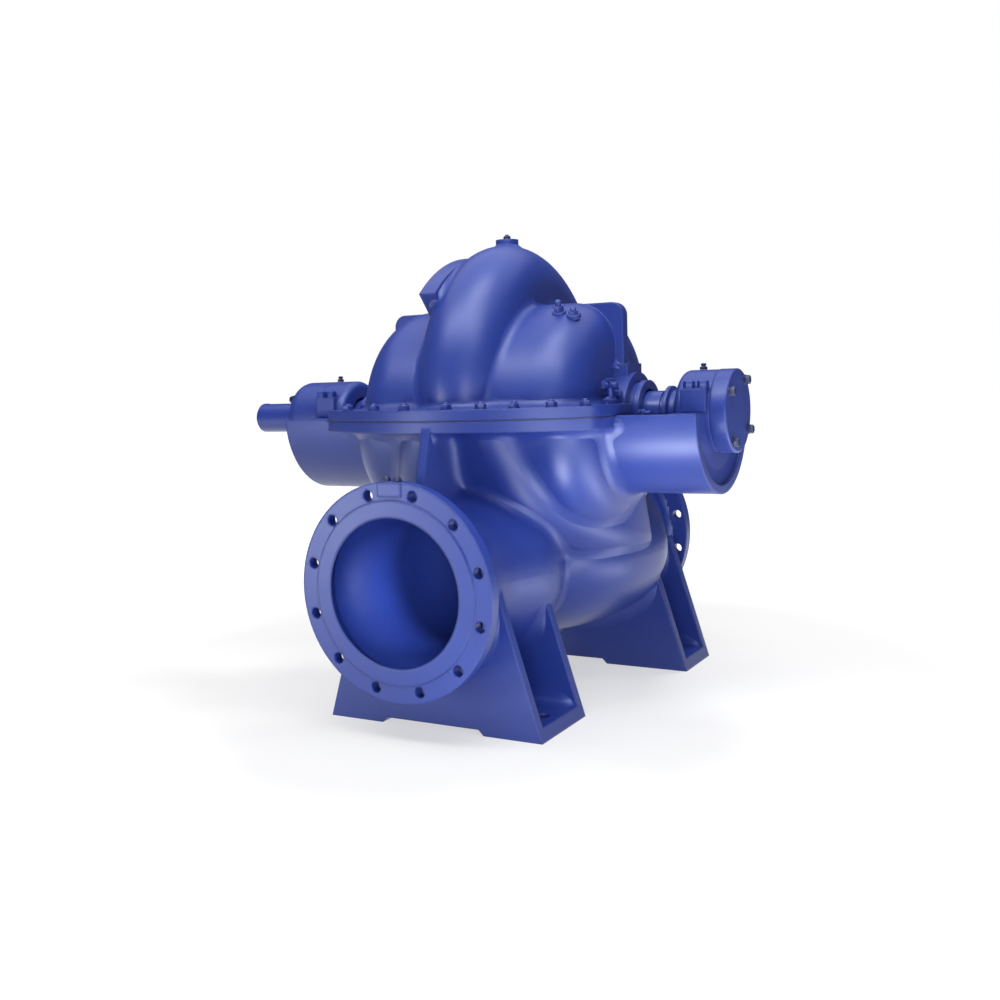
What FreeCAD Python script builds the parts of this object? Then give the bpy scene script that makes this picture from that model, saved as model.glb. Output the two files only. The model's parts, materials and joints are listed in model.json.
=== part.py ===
import FreeCAD, Part
import math
import os

import Sketcher

# Double-suction centrifugal pump with a volute casing split along the shaft.
# Everything is drawn about the shaft centre: X runs along the shaft with the drive end at -X,
# Y runs along the flow from the discharge flange (-Y) to the suction flange (+Y), and the casing
# is split at Z = 0. Each sub-part's Placement then lifts it by shaft_height, so the feet stand on Z = 0.

# Driving sizes, in millimetres unless the name says degrees or count.
SIZES = (
    ("shaft_height", 640),
    ("nozzle_drop", 332),
    ("casing_wall", 20),
    ("running_clearance", 0.06),
    ("seal_clearance", 0.3),
    ("seat_clearance", 0.25),
    ("cut_margin", 1),
    # Impeller and the chamber that it turns in
    ("impeller_radius", 208),
    ("impeller_half_width", 46),
    ("impeller_gap", 21),
    ("impeller_side_gap", 14),
    ("impeller_bore_radius", 42),
    ("impeller_hub_radius", 56),
    ("impeller_eye_radius", 74),
    ("impeller_neck_radius", 112),
    ("impeller_neck_length", 30),
    ("impeller_hub_length", 20),
    ("shroud_thickness", 9),
    ("vane_count", 6),
    ("vane_thickness", 9),
    ("vane_sweep_radius", 150),
    ("vane_turn_degrees", 48),
    ("wear_ring_wall", 12),
    ("wear_ring_lip", 4),
    # Volute: how far its crest stands off the impeller chamber's case, and half its width,
    # at each number of degrees round from the cutwater
    ("crest_at_0", 6),
    ("crest_at_25", 57),
    ("crest_at_60", 96),
    ("crest_at_100", 134),
    ("crest_at_140", 133),
    ("crest_at_180", 140),
    ("crest_at_235", 182),
    ("crest_at_290", 230),
    ("width_at_0", 92),
    ("width_at_25", 99),
    ("width_at_60", 99),
    ("width_at_100", 96),
    ("width_at_140", 88),
    ("width_at_180", 91),
    ("width_at_235", 110),
    ("width_at_290", 135),
    ("cutwater_degrees", 200),
    ("volute_root_radius", 150),
    ("passage_root_radius", 200),
    # Suction chambers above the split
    ("chamber_radius", 244),
    ("chamber_half_length", 276),
    ("chamber_round", 98),
    ("chamber_inside_bevel", 66),
    ("chamber_offset", 22),
    # Suction chambers below the split, and the arm that leads to them from the suction branch
    ("drum_radius", 268),
    ("drum_overhang", 22),
    ("drum_round", 88),
    ("arm_root_radius", 110),
    ("arm_round", 80),
    ("arm_crest_at_0", 32),
    ("arm_crest_at_45", 37),
    ("arm_crest_at_85", 67),
    ("arm_crest_at_110", 112),
    ("arm_width_at_0", 150),
    ("arm_width_at_45", 215),
    ("arm_width_at_85", 285),
    ("arm_width_at_110", 300),
    # Discharge branch and flange, DN 300 PN 10
    ("discharge_face", 521),
    ("discharge_bore_radius", 150),
    ("discharge_flange_radius", 222.5),
    ("discharge_flange_thickness", 28),
    ("discharge_bolt_circle_radius", 200),
    ("discharge_bolt_count", 12),
    ("discharge_belly_radius", 196),
    ("discharge_belly_place", 190),
    ("discharge_neck_place", 290),
    # Suction branch and flange, DN 350 PN 10
    ("suction_face", 513),
    ("suction_bore_radius", 175),
    ("suction_flange_radius", 252.5),
    ("suction_flange_thickness", 30),
    ("suction_bolt_circle_radius", 230),
    ("suction_bolt_count", 16),
    ("suction_spread", 300),
    ("suction_spread_place", 200),
    ("suction_depth", 130),
    ("flange_hole_radius", 11.5),
    ("raised_face_height", 3),
    ("raised_face_margin", 37.5),
    ("flange_pad_width", 54),
    ("flange_pad_depth", 30),
    # Split flange
    ("upper_flange_thickness", 23),
    ("lower_flange_thickness", 25),
    ("split_overhang", 59),
    ("split_front_corner", 268),
    ("split_front_edge", 378),
    ("split_back_corner", 300),
    ("split_back_edge", 470),
    ("split_corner_radius", 30),
    ("gland_pocket_half_width", 92),
    # Ribs
    ("lug_plate_top", 241),
    ("lug_plate_half_length", 296),
    ("lug_plate_thickness", 24),
    ("lug_plate_offset", 20),
    ("lug_plate_round", 28),
    ("lifting_rib_crest", 114),
    ("lifting_rib_depth", 110),
    ("lifting_rib_near", 50),
    ("lifting_rib_width", 40),
    ("lifting_rib_first_degrees", 80),
    ("lifting_rib_last_degrees", 132),
    ("neck_rib_thickness", 20),
    ("neck_rib_gap", 4),
    ("neck_rib_foot", 425),
    ("neck_rib_back", 200),
    # Stuffing boxes
    ("stuffing_box_length", 42),
    ("stuffing_box_radius", 88),
    ("stuffing_box_bore_radius", 66),
    ("box_rib_half_width", 40),
    ("box_rib_top", 107),
    # Bearing brackets, measured from the stuffing boxes' faces
    ("bracket_radius", 177),
    ("bracket_wall", 20),
    ("drive_bracket_rim", 24),
    ("free_bracket_rim", 2),
    ("saddle_inset", 10),
    # Feet
    ("near_foot_face", 398),
    ("near_foot_depth", 206),
    ("near_foot_half_width", 258),
    ("far_foot_face", 406),
    ("far_foot_depth", 172),
    ("far_foot_half_width", 335),
    ("foot_lean", 0.31),
    ("foot_plate", 20),
    ("foot_base", 28),
    ("foot_relief_height", 12),
    ("foot_relief_half_width", 112),
    ("foundation_hole_radius", 14),
    ("foundation_spacing_along_shaft", 430),
    ("foundation_spacing_across_shaft", 612),
    # Shaft and what it carries
    ("shaft_radius", 42),
    ("bearing_seat_radius", 40),
    ("cover_journal_radius", 38.5),
    ("coupling_radius", 37.5),
    ("coupling_length", 138),
    ("coupling_gap", 3),
    ("shaft_chamfer", 3),
    ("shaft_tail", 10),
    ("key_length", 100),
    ("key_width", 20),
    ("key_depth", 6),
    ("key_end_gap", 12),
    ("sleeve_radius", 46),
    ("sleeve_reach", 61),
    ("thrower_radius", 56),
    ("thrower_gap", 10),
    ("thrower_length", 24),
    # Glands
    ("gland_radius", 70),
    ("gland_flange_length", 14),
    ("gland_nose_length", 22),
    ("gland_lead", 10),
    ("gland_bore_gap", 5),
    # Bearings, housings and covers
    ("housing_reach", 107),
    ("housing_length", 80),
    ("housing_radius", 88),
    ("housing_round", 16),
    ("housing_bore_radius", 68),
    ("housing_back_wall", 14),
    ("shoulder_half_width", 93),
    ("shoulder_height", 50),
    ("shoulder_inset", 20),
    ("shoulder_end_inset", 5),
    ("shoulder_lap", 7),
    ("bearing_length", 48),
    ("bearing_gap", 9),
    ("cover_radius", 89),
    ("free_cover_length", 36),
    ("free_cover_round", 4),
    ("drive_cover_length", 100),
    ("drive_cover_radius", 88),
    ("drive_cover_round", 30),
    ("cover_front_wall", 12),
    # Small fittings
    ("vent_boss_radius", 26),
    ("vent_boss_height", 16),
    ("vent_boss_root", 32),
    ("vent_plug_radius", 9),
    ("vent_plug_height", 12),
    ("nipple_radius", 5),
    ("nipple_height", 14),
    ("nipple_inset", 40),
    ("drive_nipple_inset", 15),
    ("tap_plug_radius", 9),
    ("tap_plug_height", 9),
    ("tap_plug_spacing", 25),
)

doc = FreeCAD.newDocument("split_case_pump")


class Size:
    """A length with the text that binds it to the sheet beside its value."""

    def __init__(self, text, value):
        self.text = text
        self.value = float(value)

    @staticmethod
    def of(other):
        """Return other as a Size, so that plain numbers mix with sheet values."""
        return other if isinstance(other, Size) else Size(repr(float(other)), other)

    def join(self, sign, other, value):
        """Return the Size that joins this one and another by an arithmetic sign."""
        return Size(f"({self.text} {sign} {other.text})", value)

    def __add__(self, other):
        other = Size.of(other)
        return self.join("+", other, self.value + other.value)

    def __sub__(self, other):
        other = Size.of(other)
        return self.join("-", other, self.value - other.value)

    def __mul__(self, other):
        other = Size.of(other)
        return self.join("*", other, self.value * other.value)

    def __truediv__(self, other):
        other = Size.of(other)
        return self.join("/", other, self.value / other.value)

    def __neg__(self):
        return self * -1

    __radd__ = __add__
    __rmul__ = __mul__


class Sizes:
    """The spreadsheet of driving sizes, read by alias."""

    def __init__(self, rows):
        self.sheet = doc.addObject("Spreadsheet::Sheet", "Sizes")
        for row, (alias, value) in enumerate(rows, start=1):
            self.sheet.set(f"A{row}", alias)
            self.sheet.set(f"B{row}", str(value))
            self.sheet.setAlias(f"B{row}", alias)
        doc.recompute()

    def __getattr__(self, alias):
        return Size(f"Sizes.{alias}", self.sheet.get(alias))


s = Sizes(SIZES)
# Suction branch: shares of the way along each stretch, then of the full width and height there
SUCTION_SPREAD = ((0, 0), (1 / 3, 0.28), (2 / 3, 0.68), (1, 1))
SUCTION_CHEST = ((0.5, 1, 1), (1, 0.93, 0.93))
SUCTION_BACK = ((0.65, 0.74, 0.7), (1, 0.5, 0.35))
AXES = {
    "X": FreeCAD.Rotation(FreeCAD.Vector(0, 1, 0), 90),
    "-X": FreeCAD.Rotation(FreeCAD.Vector(0, 1, 0), -90),
    "Y": FreeCAD.Rotation(FreeCAD.Vector(1, 0, 0), -90),
    "-Y": FreeCAD.Rotation(FreeCAD.Vector(1, 0, 0), 90),
    "Z": FreeCAD.Rotation(),
    "-Z": FreeCAD.Rotation(FreeCAD.Vector(1, 0, 0), 180),
}
SIDES = (("de", -1), ("nde", 1))
heights = {}


# Helpers
def bind(item, **bound):
    """Bind properties of an object to sizes."""
    for name, size in bound.items():
        item.setExpression(name, Size.of(size).text)
    return item


def put(item, x=0, y=0, z=0):
    """Bind an object's place to sizes."""
    for name, size in (("x", x), ("y", y), ("z", z)):
        item.setExpression(f"Placement.Base.{name}", Size.of(size).text)
    heights[item.Name] = Size.of(z)
    return item


def cylinder(name, axis, radius, length, x=0, y=0, z=0):
    """A cylinder that starts at a place and runs along an axis."""
    item = doc.addObject("Part::Cylinder", name)
    item.Placement = FreeCAD.Placement(FreeCAD.Vector(), AXES[axis])
    return put(bind(item, Radius=radius, Height=length), x, y, z)


def block(name, x, y, z):
    """A box between two sizes on each of the three axes."""
    item = doc.addObject("Part::Box", name)
    bind(item, Length=x[1] - x[0], Width=y[1] - y[0], Height=z[1] - z[0])
    return put(item, x[0], y[0], z[0])


def fused(name, items):
    """The union of several objects."""
    item = doc.addObject("Part::MultiFuse", name)
    item.Shapes = list(items)
    item.Refine = False
    return item


def joined(name, items):
    """The union of several objects, made one after another in the order given."""
    whole = items[0]
    for number, item in enumerate(items[1:], start=1):
        step = doc.addObject("Part::Fuse", f"{name}_{number}")
        step.Base = whole
        step.Tool = item
        step.Refine = False
        whole = step
    return whole


def grouped(name, items):
    """Several objects that don't touch, as one."""
    item = doc.addObject("Part::Compound", name)
    item.Links = list(items)
    return item


def cut(name, base, tool):
    """One object with another taken away."""
    item = doc.addObject("Part::Cut", name)
    item.Base = base
    item.Tool = tool
    item.Refine = False
    return item


def formed(name, shape):
    """An object whose shape is worked out below from the sheet's values."""
    item = doc.addObject("Part::Feature", name)
    item.Shape = shape
    return item


def turned(name, profile):
    """A body turned about the shaft axis from a closed profile of (x, radius) sizes."""
    body = doc.addObject("PartDesign::Body", name)
    sketch = body.newObject("Sketcher::SketchObject", f"{name}_profile")
    plane = next(item for item in body.Origin.OriginFeatures if item.Role == "XZ_Plane")
    sketch.AttachmentSupport = (plane, [""])
    sketch.MapMode = "FlatFace"
    points = [(Size.of(along), Size.of(radius)) for along, radius in profile]
    count = len(points)
    for index, (along, radius) in enumerate(points):
        after = points[(index + 1) % count]
        start = FreeCAD.Vector(along.value, radius.value, 0)
        end = FreeCAD.Vector(after[0].value, after[1].value, 0)
        sketch.addGeometry(Part.LineSegment(start, end), False)
    for index in range(count):
        sketch.addConstraint(Sketcher.Constraint("Coincident", index, 2, (index + 1) % count, 1))
    for index, (along, radius) in enumerate(points):
        for kind, size in (("DistanceX", along), ("DistanceY", radius)):
            number = sketch.addConstraint(Sketcher.Constraint(kind, index, 1, size.value))
            sketch.setExpression(f"Constraints[{number}]", size.text)
    revolution = body.newObject("PartDesign::Revolution", f"{name}_turned")
    revolution.Profile = sketch
    revolution.ReferenceAxis = (sketch, ["H_Axis"])
    revolution.Angle = 360
    sketch.Visibility = False
    return body


def ring(name, start, end, inner, outer):
    """A plain ring about the shaft axis."""
    return turned(name, ((start, inner), (end, inner), (end, outer), (start, outer)))


def ring_of_holes(name, axis, radius, depth, circle, count, face, drop):
    """Holes on a bolt circle, with the top one clear of the vertical centre line."""
    holes = []
    total = int(count.value)
    for index in range(total):
        angle = 2 * math.pi * (index + 0.5) / total
        across = circle * math.sin(angle)
        above = circle * math.cos(angle) - drop
        holes.append(cylinder(f"{name}_{index}", axis, radius, depth, across, face, above))
    return holes


def arch(first, middle, last):
    """An arc through three points, as an edge."""
    return Part.Arc(first, middle, last).toShape()


def straight(first, last):
    """A line between two points, as an edge."""
    return Part.LineSegment(first, last).toShape()


# Forms that wind about the shaft: sections in planes through its axis, at an angle from +Y over the top
def winding_wire(degrees, crest, half, corner, root):
    """A section with two rounded corners at its crest."""
    turn = math.radians(degrees)
    lean = math.sqrt(0.5)

    def place(along, radius):
        return FreeCAD.Vector(along, radius * math.cos(turn), radius * math.sin(turn))

    def corner_arc(side):
        inside = half - corner
        return [
            place(side * half, crest - corner),
            place(side * (inside + corner * lean), crest - corner * (1 - lean)),
            place(side * inside, crest),
        ]

    left = corner_arc(-1)
    right = corner_arc(1)[::-1]
    edges = [straight(place(-half, root), left[0]), arch(*left)]
    if half > corner:
        edges.append(straight(left[2], right[0]))
    edges += [arch(*right), straight(right[2], place(half, root)), straight(place(half, root), place(-half, root))]
    return Part.Wire(edges)


VOLUTE_TURNS = (0, 25, 60, 100, 140, 180, 235, 290)
ARM_TURNS = (0, 45, 85, 110)


def value(alias):
    """The sheet's value for an alias."""
    return getattr(s, alias).value


def volute_shape(turns, root, inset):
    """The spiral from its start at the cutwater round to the throat under the shaft."""
    case = s.impeller_radius.value + s.impeller_gap.value + s.casing_wall.value
    wires = []
    for turned_by in turns:
        crest = case + value(f"crest_at_{turned_by}") - inset
        half = value(f"width_at_{turned_by}") - inset
        wires.append(winding_wire(s.cutwater_degrees.value - turned_by, crest, half, half, root))
    return Part.makeLoft(wires, True, False)


def arm_shape(inset):
    """The arm that widens round the front and underside of the lower half towards the suction branch."""
    wires = []
    for turned_by in ARM_TURNS:
        crest = s.drum_radius.value + value(f"arm_crest_at_{turned_by}") - inset
        half = value(f"arm_width_at_{turned_by}") - inset
        wires.append(winding_wire(180 + turned_by, crest, half, s.arm_round.value - inset, s.arm_root_radius.value))
    return Part.makeLoft(wires, True, False)


def bar_shape(along, inner, outer, first_degrees, last_degrees):
    """A curved bar about the shaft axis, between two angles from +Y over the top."""
    first = math.radians(first_degrees)
    last = math.radians(last_degrees)
    middle = (first + last) / 2

    def place(radius, turn):
        return FreeCAD.Vector(along[0], radius * math.cos(turn), radius * math.sin(turn))

    wire = Part.Wire([
        arch(place(outer, first), place(outer, middle), place(outer, last)),
        straight(place(outer, last), place(inner, last)),
        arch(place(inner, last), place(inner, middle), place(inner, first)),
        straight(place(inner, first), place(outer, first)),
    ])
    return Part.Face(wire).extrude(FreeCAD.Vector(along[1] - along[0], 0, 0))


# Branches: sections across the flow
def oval(y, centre, half_width, half_height):
    """An upright oval across the flow, wider than it is high."""
    ellipse = Part.Ellipse(FreeCAD.Vector(0, y, centre), max(half_width, half_height + 0.01), half_height)
    ellipse.Axis = FreeCAD.Vector(0, -1, 0)
    ellipse.XAxis = FreeCAD.Vector(1, 0, 0)
    return Part.Wire([ellipse.toShape()])


def circle_wire(y, centre, radius):
    """An upright circle across the flow."""
    return Part.Wire([Part.makeCircle(radius, FreeCAD.Vector(0, y, centre), FreeCAD.Vector(0, -1, 0))])


def discharge_shape(inset):
    """The discharge branch, from the volute's throat to its flange."""
    drop = -s.nozzle_drop.value
    throat = s.width_at_290.value
    crest = s.impeller_radius.value + s.impeller_gap.value + s.casing_wall.value + s.crest_at_290.value
    throat_centre = throat - crest
    belly = s.discharge_belly_radius.value
    belly_place = s.discharge_belly_place.value
    neck_place = s.discharge_neck_place.value
    mouth = s.discharge_bore_radius.value + s.casing_wall.value
    face = s.discharge_face.value
    stations = (
        (0, throat_centre, throat),
        (-belly_place / 2, (drop + throat_centre) / 2, (throat + belly) / 2),
        (-belly_place, drop, belly),
        (-neck_place, drop, mouth),
        (-(neck_place + face) / 2, drop, mouth),
        (-face, drop, mouth),
    )
    return Part.makeLoft([circle_wire(y, centre, radius - inset) for y, centre, radius in stations], True, False)


def suction_shape(inset):
    """The suction branch, from its flange to where it spreads round the volute."""
    drop = -s.nozzle_drop.value
    mouth = s.suction_bore_radius.value + s.casing_wall.value
    spread = s.suction_spread.value
    face = s.suction_face.value
    place = s.suction_spread_place.value
    depth = s.suction_depth.value
    neck = face - s.suction_flange_thickness.value
    run = neck - place
    stations = [(face, mouth, mouth)]
    stations += [(neck - run * far, mouth + (spread - mouth) * wide, mouth) for far, wide in SUCTION_SPREAD]
    stations += [(place - place * far, spread * wide, mouth * high) for far, wide, high in SUCTION_CHEST]
    stations += [(-depth * far, spread * wide, mouth * high) for far, wide, high in SUCTION_BACK]
    wires = [oval(y, drop, half_width - inset, half_height - inset) for y, half_width, half_height in stations]
    return Part.makeLoft(wires, True, False)


def rounded(body, rims, radius):
    """Round the rims of a turned body, each given by its place along the shaft and its radius."""
    doc.recompute()
    drum = body.Tip
    names = []
    for number, edge in enumerate(drum.Shape.Edges, start=1):
        for along, reach in rims:
            closed = len(edge.Vertexes) == 1 and hasattr(edge.Curve, "Radius")
            if closed and abs(edge.Curve.Center.x - along.value) < 0.01 and abs(edge.Curve.Radius - reach.value) < 0.01:
                names.append(f"Edge{number}")
    fillet = body.newObject("PartDesign::Fillet", f"{body.Name}_rounds_{len(body.Group)}")
    fillet.Base = (drum, names)
    bind(fillet, Radius=radius)
    return body


def rounded_drum(name, radius, half_length, round_radius):
    """A drum about the shaft axis with rounded ends."""
    body = turned(name, ((-half_length, 0), (half_length, 0), (half_length, radius), (-half_length, radius)))
    return rounded(body, ((-half_length, radius), (half_length, radius)), round_radius)


def split_flange_shape():
    """The plate that both casing halves share at the split, with bowed front and back edges."""
    half = s.chamber_half_length.value + s.split_overhang.value
    low = -s.lower_flange_thickness.value

    def corner(x, y):
        return FreeCAD.Vector(x, y, low)

    front = (-s.split_front_corner.value, -s.split_front_edge.value)
    back = (s.split_back_corner.value, s.split_back_edge.value)
    wire = Part.Wire([
        arch(corner(-half, front[0]), corner(0, front[1]), corner(half, front[0])),
        straight(corner(half, front[0]), corner(half, back[0])),
        arch(corner(half, back[0]), corner(0, back[1]), corner(-half, back[0])),
        straight(corner(-half, back[0]), corner(-half, front[0])),
    ])
    height = s.upper_flange_thickness.value - low
    plate = Part.Face(wire).extrude(FreeCAD.Vector(0, 0, height))
    upright = [edge for edge in plate.Edges if edge.BoundBox.ZLength > height / 2]
    return plate.makeFillet(s.split_corner_radius.value, upright)


def lug_plate_shape():
    """The lifting rib that stands across both suction chambers."""
    half = s.lug_plate_half_length.value
    top = s.lug_plate_top.value
    thick = s.lug_plate_thickness.value
    front = -s.lug_plate_offset.value - thick / 2
    plate = Part.makeBox(2 * half, thick, top, FreeCAD.Vector(-half, front, 0))
    corners = [
        edge
        for edge in plate.Edges
        if edge.BoundBox.YLength > thick / 2 and edge.CenterOfMass.z > top / 2
        and abs(edge.CenterOfMass.x) > half / 2
    ]
    return plate.makeFillet(s.lug_plate_round.value, corners)


def foot_shape(face, depth, half_width, side):
    """One foot: two leaning plates across the shaft on a base plate."""
    low = -s.shaft_height.value
    top = -s.nozzle_drop.value
    base_top = low + s.foot_base.value
    plate = s.foot_plate.value

    def trapezoid(y, height):
        narrow = half_width - s.foot_lean.value * (height - low)
        points = ((-half_width, low), (half_width, low), (narrow, height), (-narrow, height), (-half_width, low))
        return Part.Face(Part.makePolygon([FreeCAD.Vector(x, y, z) for x, z in points]))

    outer = trapezoid(side * face, top).extrude(FreeCAD.Vector(0, -side * plate, 0))
    inner = trapezoid(side * (face - depth), top).extrude(FreeCAD.Vector(0, side * plate, 0))
    base = trapezoid(side * face, base_top).extrude(FreeCAD.Vector(0, -side * depth, 0))
    relief = s.foot_relief_half_width.value
    height = s.foot_relief_height.value
    notch_points = ((-relief - height, low), (relief + height, low), (relief, low + height), (-relief, low + height))
    notch_wire = Part.makePolygon([FreeCAD.Vector(x, side * face, z) for x, z in notch_points + notch_points[:1]])
    notch = Part.Face(notch_wire).extrude(FreeCAD.Vector(0, -side * depth, 0))
    return outer.fuse([inner, base]).cut(notch)


def neck_rib_shape():
    """The upright rib between the split flange and the discharge neck."""
    thick = s.neck_rib_thickness.value
    low = s.discharge_bore_radius.value - s.nozzle_drop.value
    # The rib's front edge hangs from just behind the flange's own edge
    front = s.neck_rib_gap.value - s.split_front_edge.value
    foot = -s.neck_rib_foot.value
    back = -s.neck_rib_back.value
    points = ((front, 0), (foot, low), (back, low), (back, 0), (front, 0))
    wire = Part.makePolygon([FreeCAD.Vector(-thick / 2, y, z) for y, z in points])
    return Part.Face(wire).extrude(FreeCAD.Vector(thick, 0, 0))


# Casing: outer forms that both halves share
case_radius = s.impeller_radius + s.impeller_gap
case_half = s.impeller_half_width + s.impeller_side_gap
outer_case_half = case_half + s.casing_wall
box_end = s.chamber_half_length + s.stuffing_box_length
split_half = s.chamber_half_length + s.split_overhang
volute_outer = fused("volute_outer", (
    formed("volute_spiral", volute_shape(VOLUTE_TURNS, s.volute_root_radius.value, 0)),
    cylinder("impeller_case", "X", case_radius + s.casing_wall, outer_case_half * 2, -outer_case_half),
    formed("discharge_branch", discharge_shape(0)),
))
flange_back = s.discharge_flange_thickness - s.raised_face_height
discharge_flange = cylinder("discharge_flange", "Y", s.discharge_flange_radius, flange_back,
                            y=-s.discharge_face + s.raised_face_height, z=-s.nozzle_drop)
discharge_face = cylinder("discharge_raised_face", "Y", s.discharge_flange_radius - s.raised_face_margin,
                          s.discharge_flange_thickness, y=-s.discharge_face, z=-s.nozzle_drop)
flange_top = s.discharge_flange_radius - s.nozzle_drop
flange_pad = block("flange_pad", (-s.flange_pad_width / 2, s.flange_pad_width / 2),
                   (-s.discharge_face, -s.discharge_face + s.discharge_flange_thickness),
                   (flange_top - s.flange_pad_depth, flange_top - s.raised_face_height))
suction_flange = cylinder("suction_flange", "-Y", s.suction_flange_radius,
                          s.suction_flange_thickness - s.raised_face_height,
                          y=s.suction_face - s.raised_face_height, z=-s.nozzle_drop)
suction_face = cylinder("suction_raised_face", "-Y", s.suction_flange_radius - s.raised_face_margin,
                        s.suction_flange_thickness, y=s.suction_face, z=-s.nozzle_drop)
stuffing_boxes = [
    cylinder(f"stuffing_box_{tag}", "X" if side > 0 else "-X", s.stuffing_box_radius, box_end,
             Size.of(0))
    for tag, side in SIDES
]
split_flange = formed("split_flange", split_flange_shape())

# Casing: forms of the upper half
domes = rounded_drum("suction_domes", s.chamber_radius, s.chamber_half_length, s.chamber_round)
domes.setExpression("Placement.Base.y", (-s.chamber_offset).text)
crest_top = case_radius + s.casing_wall + s.crest_at_100
vent_boss = cylinder("vent_boss", "Z", s.vent_boss_radius, s.vent_boss_height + s.vent_boss_root,
                     z=crest_top - s.vent_boss_root)
rib_crest = (case_radius + s.casing_wall + s.lifting_rib_crest).value
lifting_rib = formed("lifting_rib", bar_shape(
    (-(s.lifting_rib_near + s.lifting_rib_width).value, -s.lifting_rib_near.value),
    rib_crest - s.lifting_rib_depth.value, rib_crest,
    s.lifting_rib_first_degrees.value, s.lifting_rib_last_degrees.value))
box_ribs = block("box_ribs", (-box_end + s.gland_lead, box_end - s.gland_lead),
                 (-s.box_rib_half_width, s.box_rib_half_width), (Size.of(0), s.box_rib_top))
upper_outer = fused("upper_outer", [
    volute_outer, domes, split_flange, formed("lug_plate", lug_plate_shape()), vent_boss, lifting_rib, box_ribs,
] + stuffing_boxes)

# Casing: forms of the lower half
lower_outer = joined("lower_outer", [
    rounded_drum("suction_drum", s.drum_radius, s.chamber_half_length + s.drum_overhang, s.drum_round),
    formed("suction_arm", arm_shape(0)), formed("suction_branch", suction_shape(0)), volute_outer,
    split_flange,
    formed("near_foot", foot_shape(s.near_foot_face.value, s.near_foot_depth.value,
                                   s.near_foot_half_width.value, -1)),
    formed("far_foot", foot_shape(s.far_foot_face.value, s.far_foot_depth.value,
                                  s.far_foot_half_width.value, 1)),
    formed("neck_rib", neck_rib_shape()), discharge_flange, discharge_face, flange_pad, suction_flange,
    suction_face,
] + stuffing_boxes)

# Casing: the water's way through it
inside_half = s.chamber_half_length - s.casing_wall
inside_radius = s.chamber_radius - s.casing_wall
chamber_inside = turned("suction_chambers_inside", (
    (-inside_half, 0),
    (inside_half, 0),
    (inside_half, inside_radius - s.chamber_inside_bevel),
    (inside_half - s.chamber_inside_bevel, inside_radius),
    (-inside_half + s.chamber_inside_bevel, inside_radius),
    (-inside_half, inside_radius - s.chamber_inside_bevel),
))
chamber_inside.setExpression("Placement.Base.y", (-s.chamber_offset).text)
wall = s.casing_wall.value
suction_inside = fused("suction_inside", (
    chamber_inside, formed("suction_passage", suction_shape(wall)), formed("arm_passage", arm_shape(wall)),
))
suction_way = cut("suction_way", suction_inside, volute_outer)
volute_inside = fused("volute_inside", (
    formed("volute_passage", volute_shape(VOLUTE_TURNS[1:], s.passage_root_radius.value, wall)),
    cylinder("impeller_chamber", "X", case_radius, case_half * 2, -case_half),
    formed("discharge_passage", discharge_shape(wall)),
))
ring_seat = s.impeller_neck_radius + s.seal_clearance + s.wear_ring_wall
seat_half = outer_case_half + s.casing_wall / 2
bores = [
    cylinder("wear_ring_seats", "X", ring_seat, seat_half * 2, -seat_half),
    cylinder("stuffing_box_bores", "X", s.stuffing_box_bore_radius, (split_half + s.cut_margin) * 2,
             -split_half - s.cut_margin),
]
pockets = [
    block(f"gland_pocket_{tag}",
          (box_end, split_half + s.cut_margin) if side > 0 else (-split_half - s.cut_margin, -box_end),
          (-s.gland_pocket_half_width, s.gland_pocket_half_width),
          (-s.lower_flange_thickness - s.cut_margin, s.upper_flange_thickness + s.cut_margin))
    for tag, side in SIDES
]
holes = ring_of_holes("discharge_hole", "Y", s.flange_hole_radius,
                      s.discharge_flange_thickness + s.cut_margin * 2, s.discharge_bolt_circle_radius,
                      s.discharge_bolt_count, -s.discharge_face - s.cut_margin, s.nozzle_drop)
holes += ring_of_holes("suction_hole", "-Y", s.flange_hole_radius,
                       s.suction_flange_thickness + s.cut_margin * 2, s.suction_bolt_circle_radius,
                       s.suction_bolt_count, s.suction_face + s.cut_margin, s.nozzle_drop)
for across in (-1, 1):
    for along in (-1, 1):
        holes.append(cylinder(f"foundation_hole_{across}_{along}".replace("-", "m"), "Z",
                              s.foundation_hole_radius, s.foot_base + s.cut_margin * 2,
                              s.foundation_spacing_along_shaft * (along / 2),
                              s.foundation_spacing_across_shaft * (across / 2), -s.shaft_height - s.cut_margin))
drilled = grouped("bolt_holes", holes)

# Bearing brackets: half tubes with a saddle at their ends
housing_start = box_end + s.housing_reach
housing_end = housing_start + s.housing_length
bracket_ends = {"de": housing_end + s.drive_bracket_rim, "nde": housing_end + s.free_bracket_rim}
brackets = []
for tag, side in SIDES:
    near = s.chamber_half_length
    bracket_end = bracket_ends[tag]
    length = bracket_end - near
    start = near if side > 0 else -bracket_end
    tube = cylinder(f"bracket_tube_{tag}", "X", s.bracket_radius, length, start)
    hollow = cylinder(f"bracket_hollow_{tag}", "X", s.bracket_radius - s.bracket_wall,
                      length + s.cut_margin * 2, start - s.cut_margin)
    saddle_length = s.housing_length - s.saddle_inset * 2
    saddle = cylinder(f"bracket_saddle_{tag}", "X", s.bracket_radius - s.bracket_wall / 2, saddle_length,
                      housing_start + s.saddle_inset if side > 0 else -housing_end + s.saddle_inset)
    seat = cylinder(f"bracket_seat_{tag}", "X" if side > 0 else "-X", s.housing_radius + s.seat_clearance,
                    bracket_end, box_end if side > 0 else -box_end)
    shell = cut(f"bracket_shell_{tag}", tube, hollow)
    brackets.append(cut(f"bracket_{tag}", fused(f"bracket_whole_{tag}", (shell, saddle)), seat))

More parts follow.
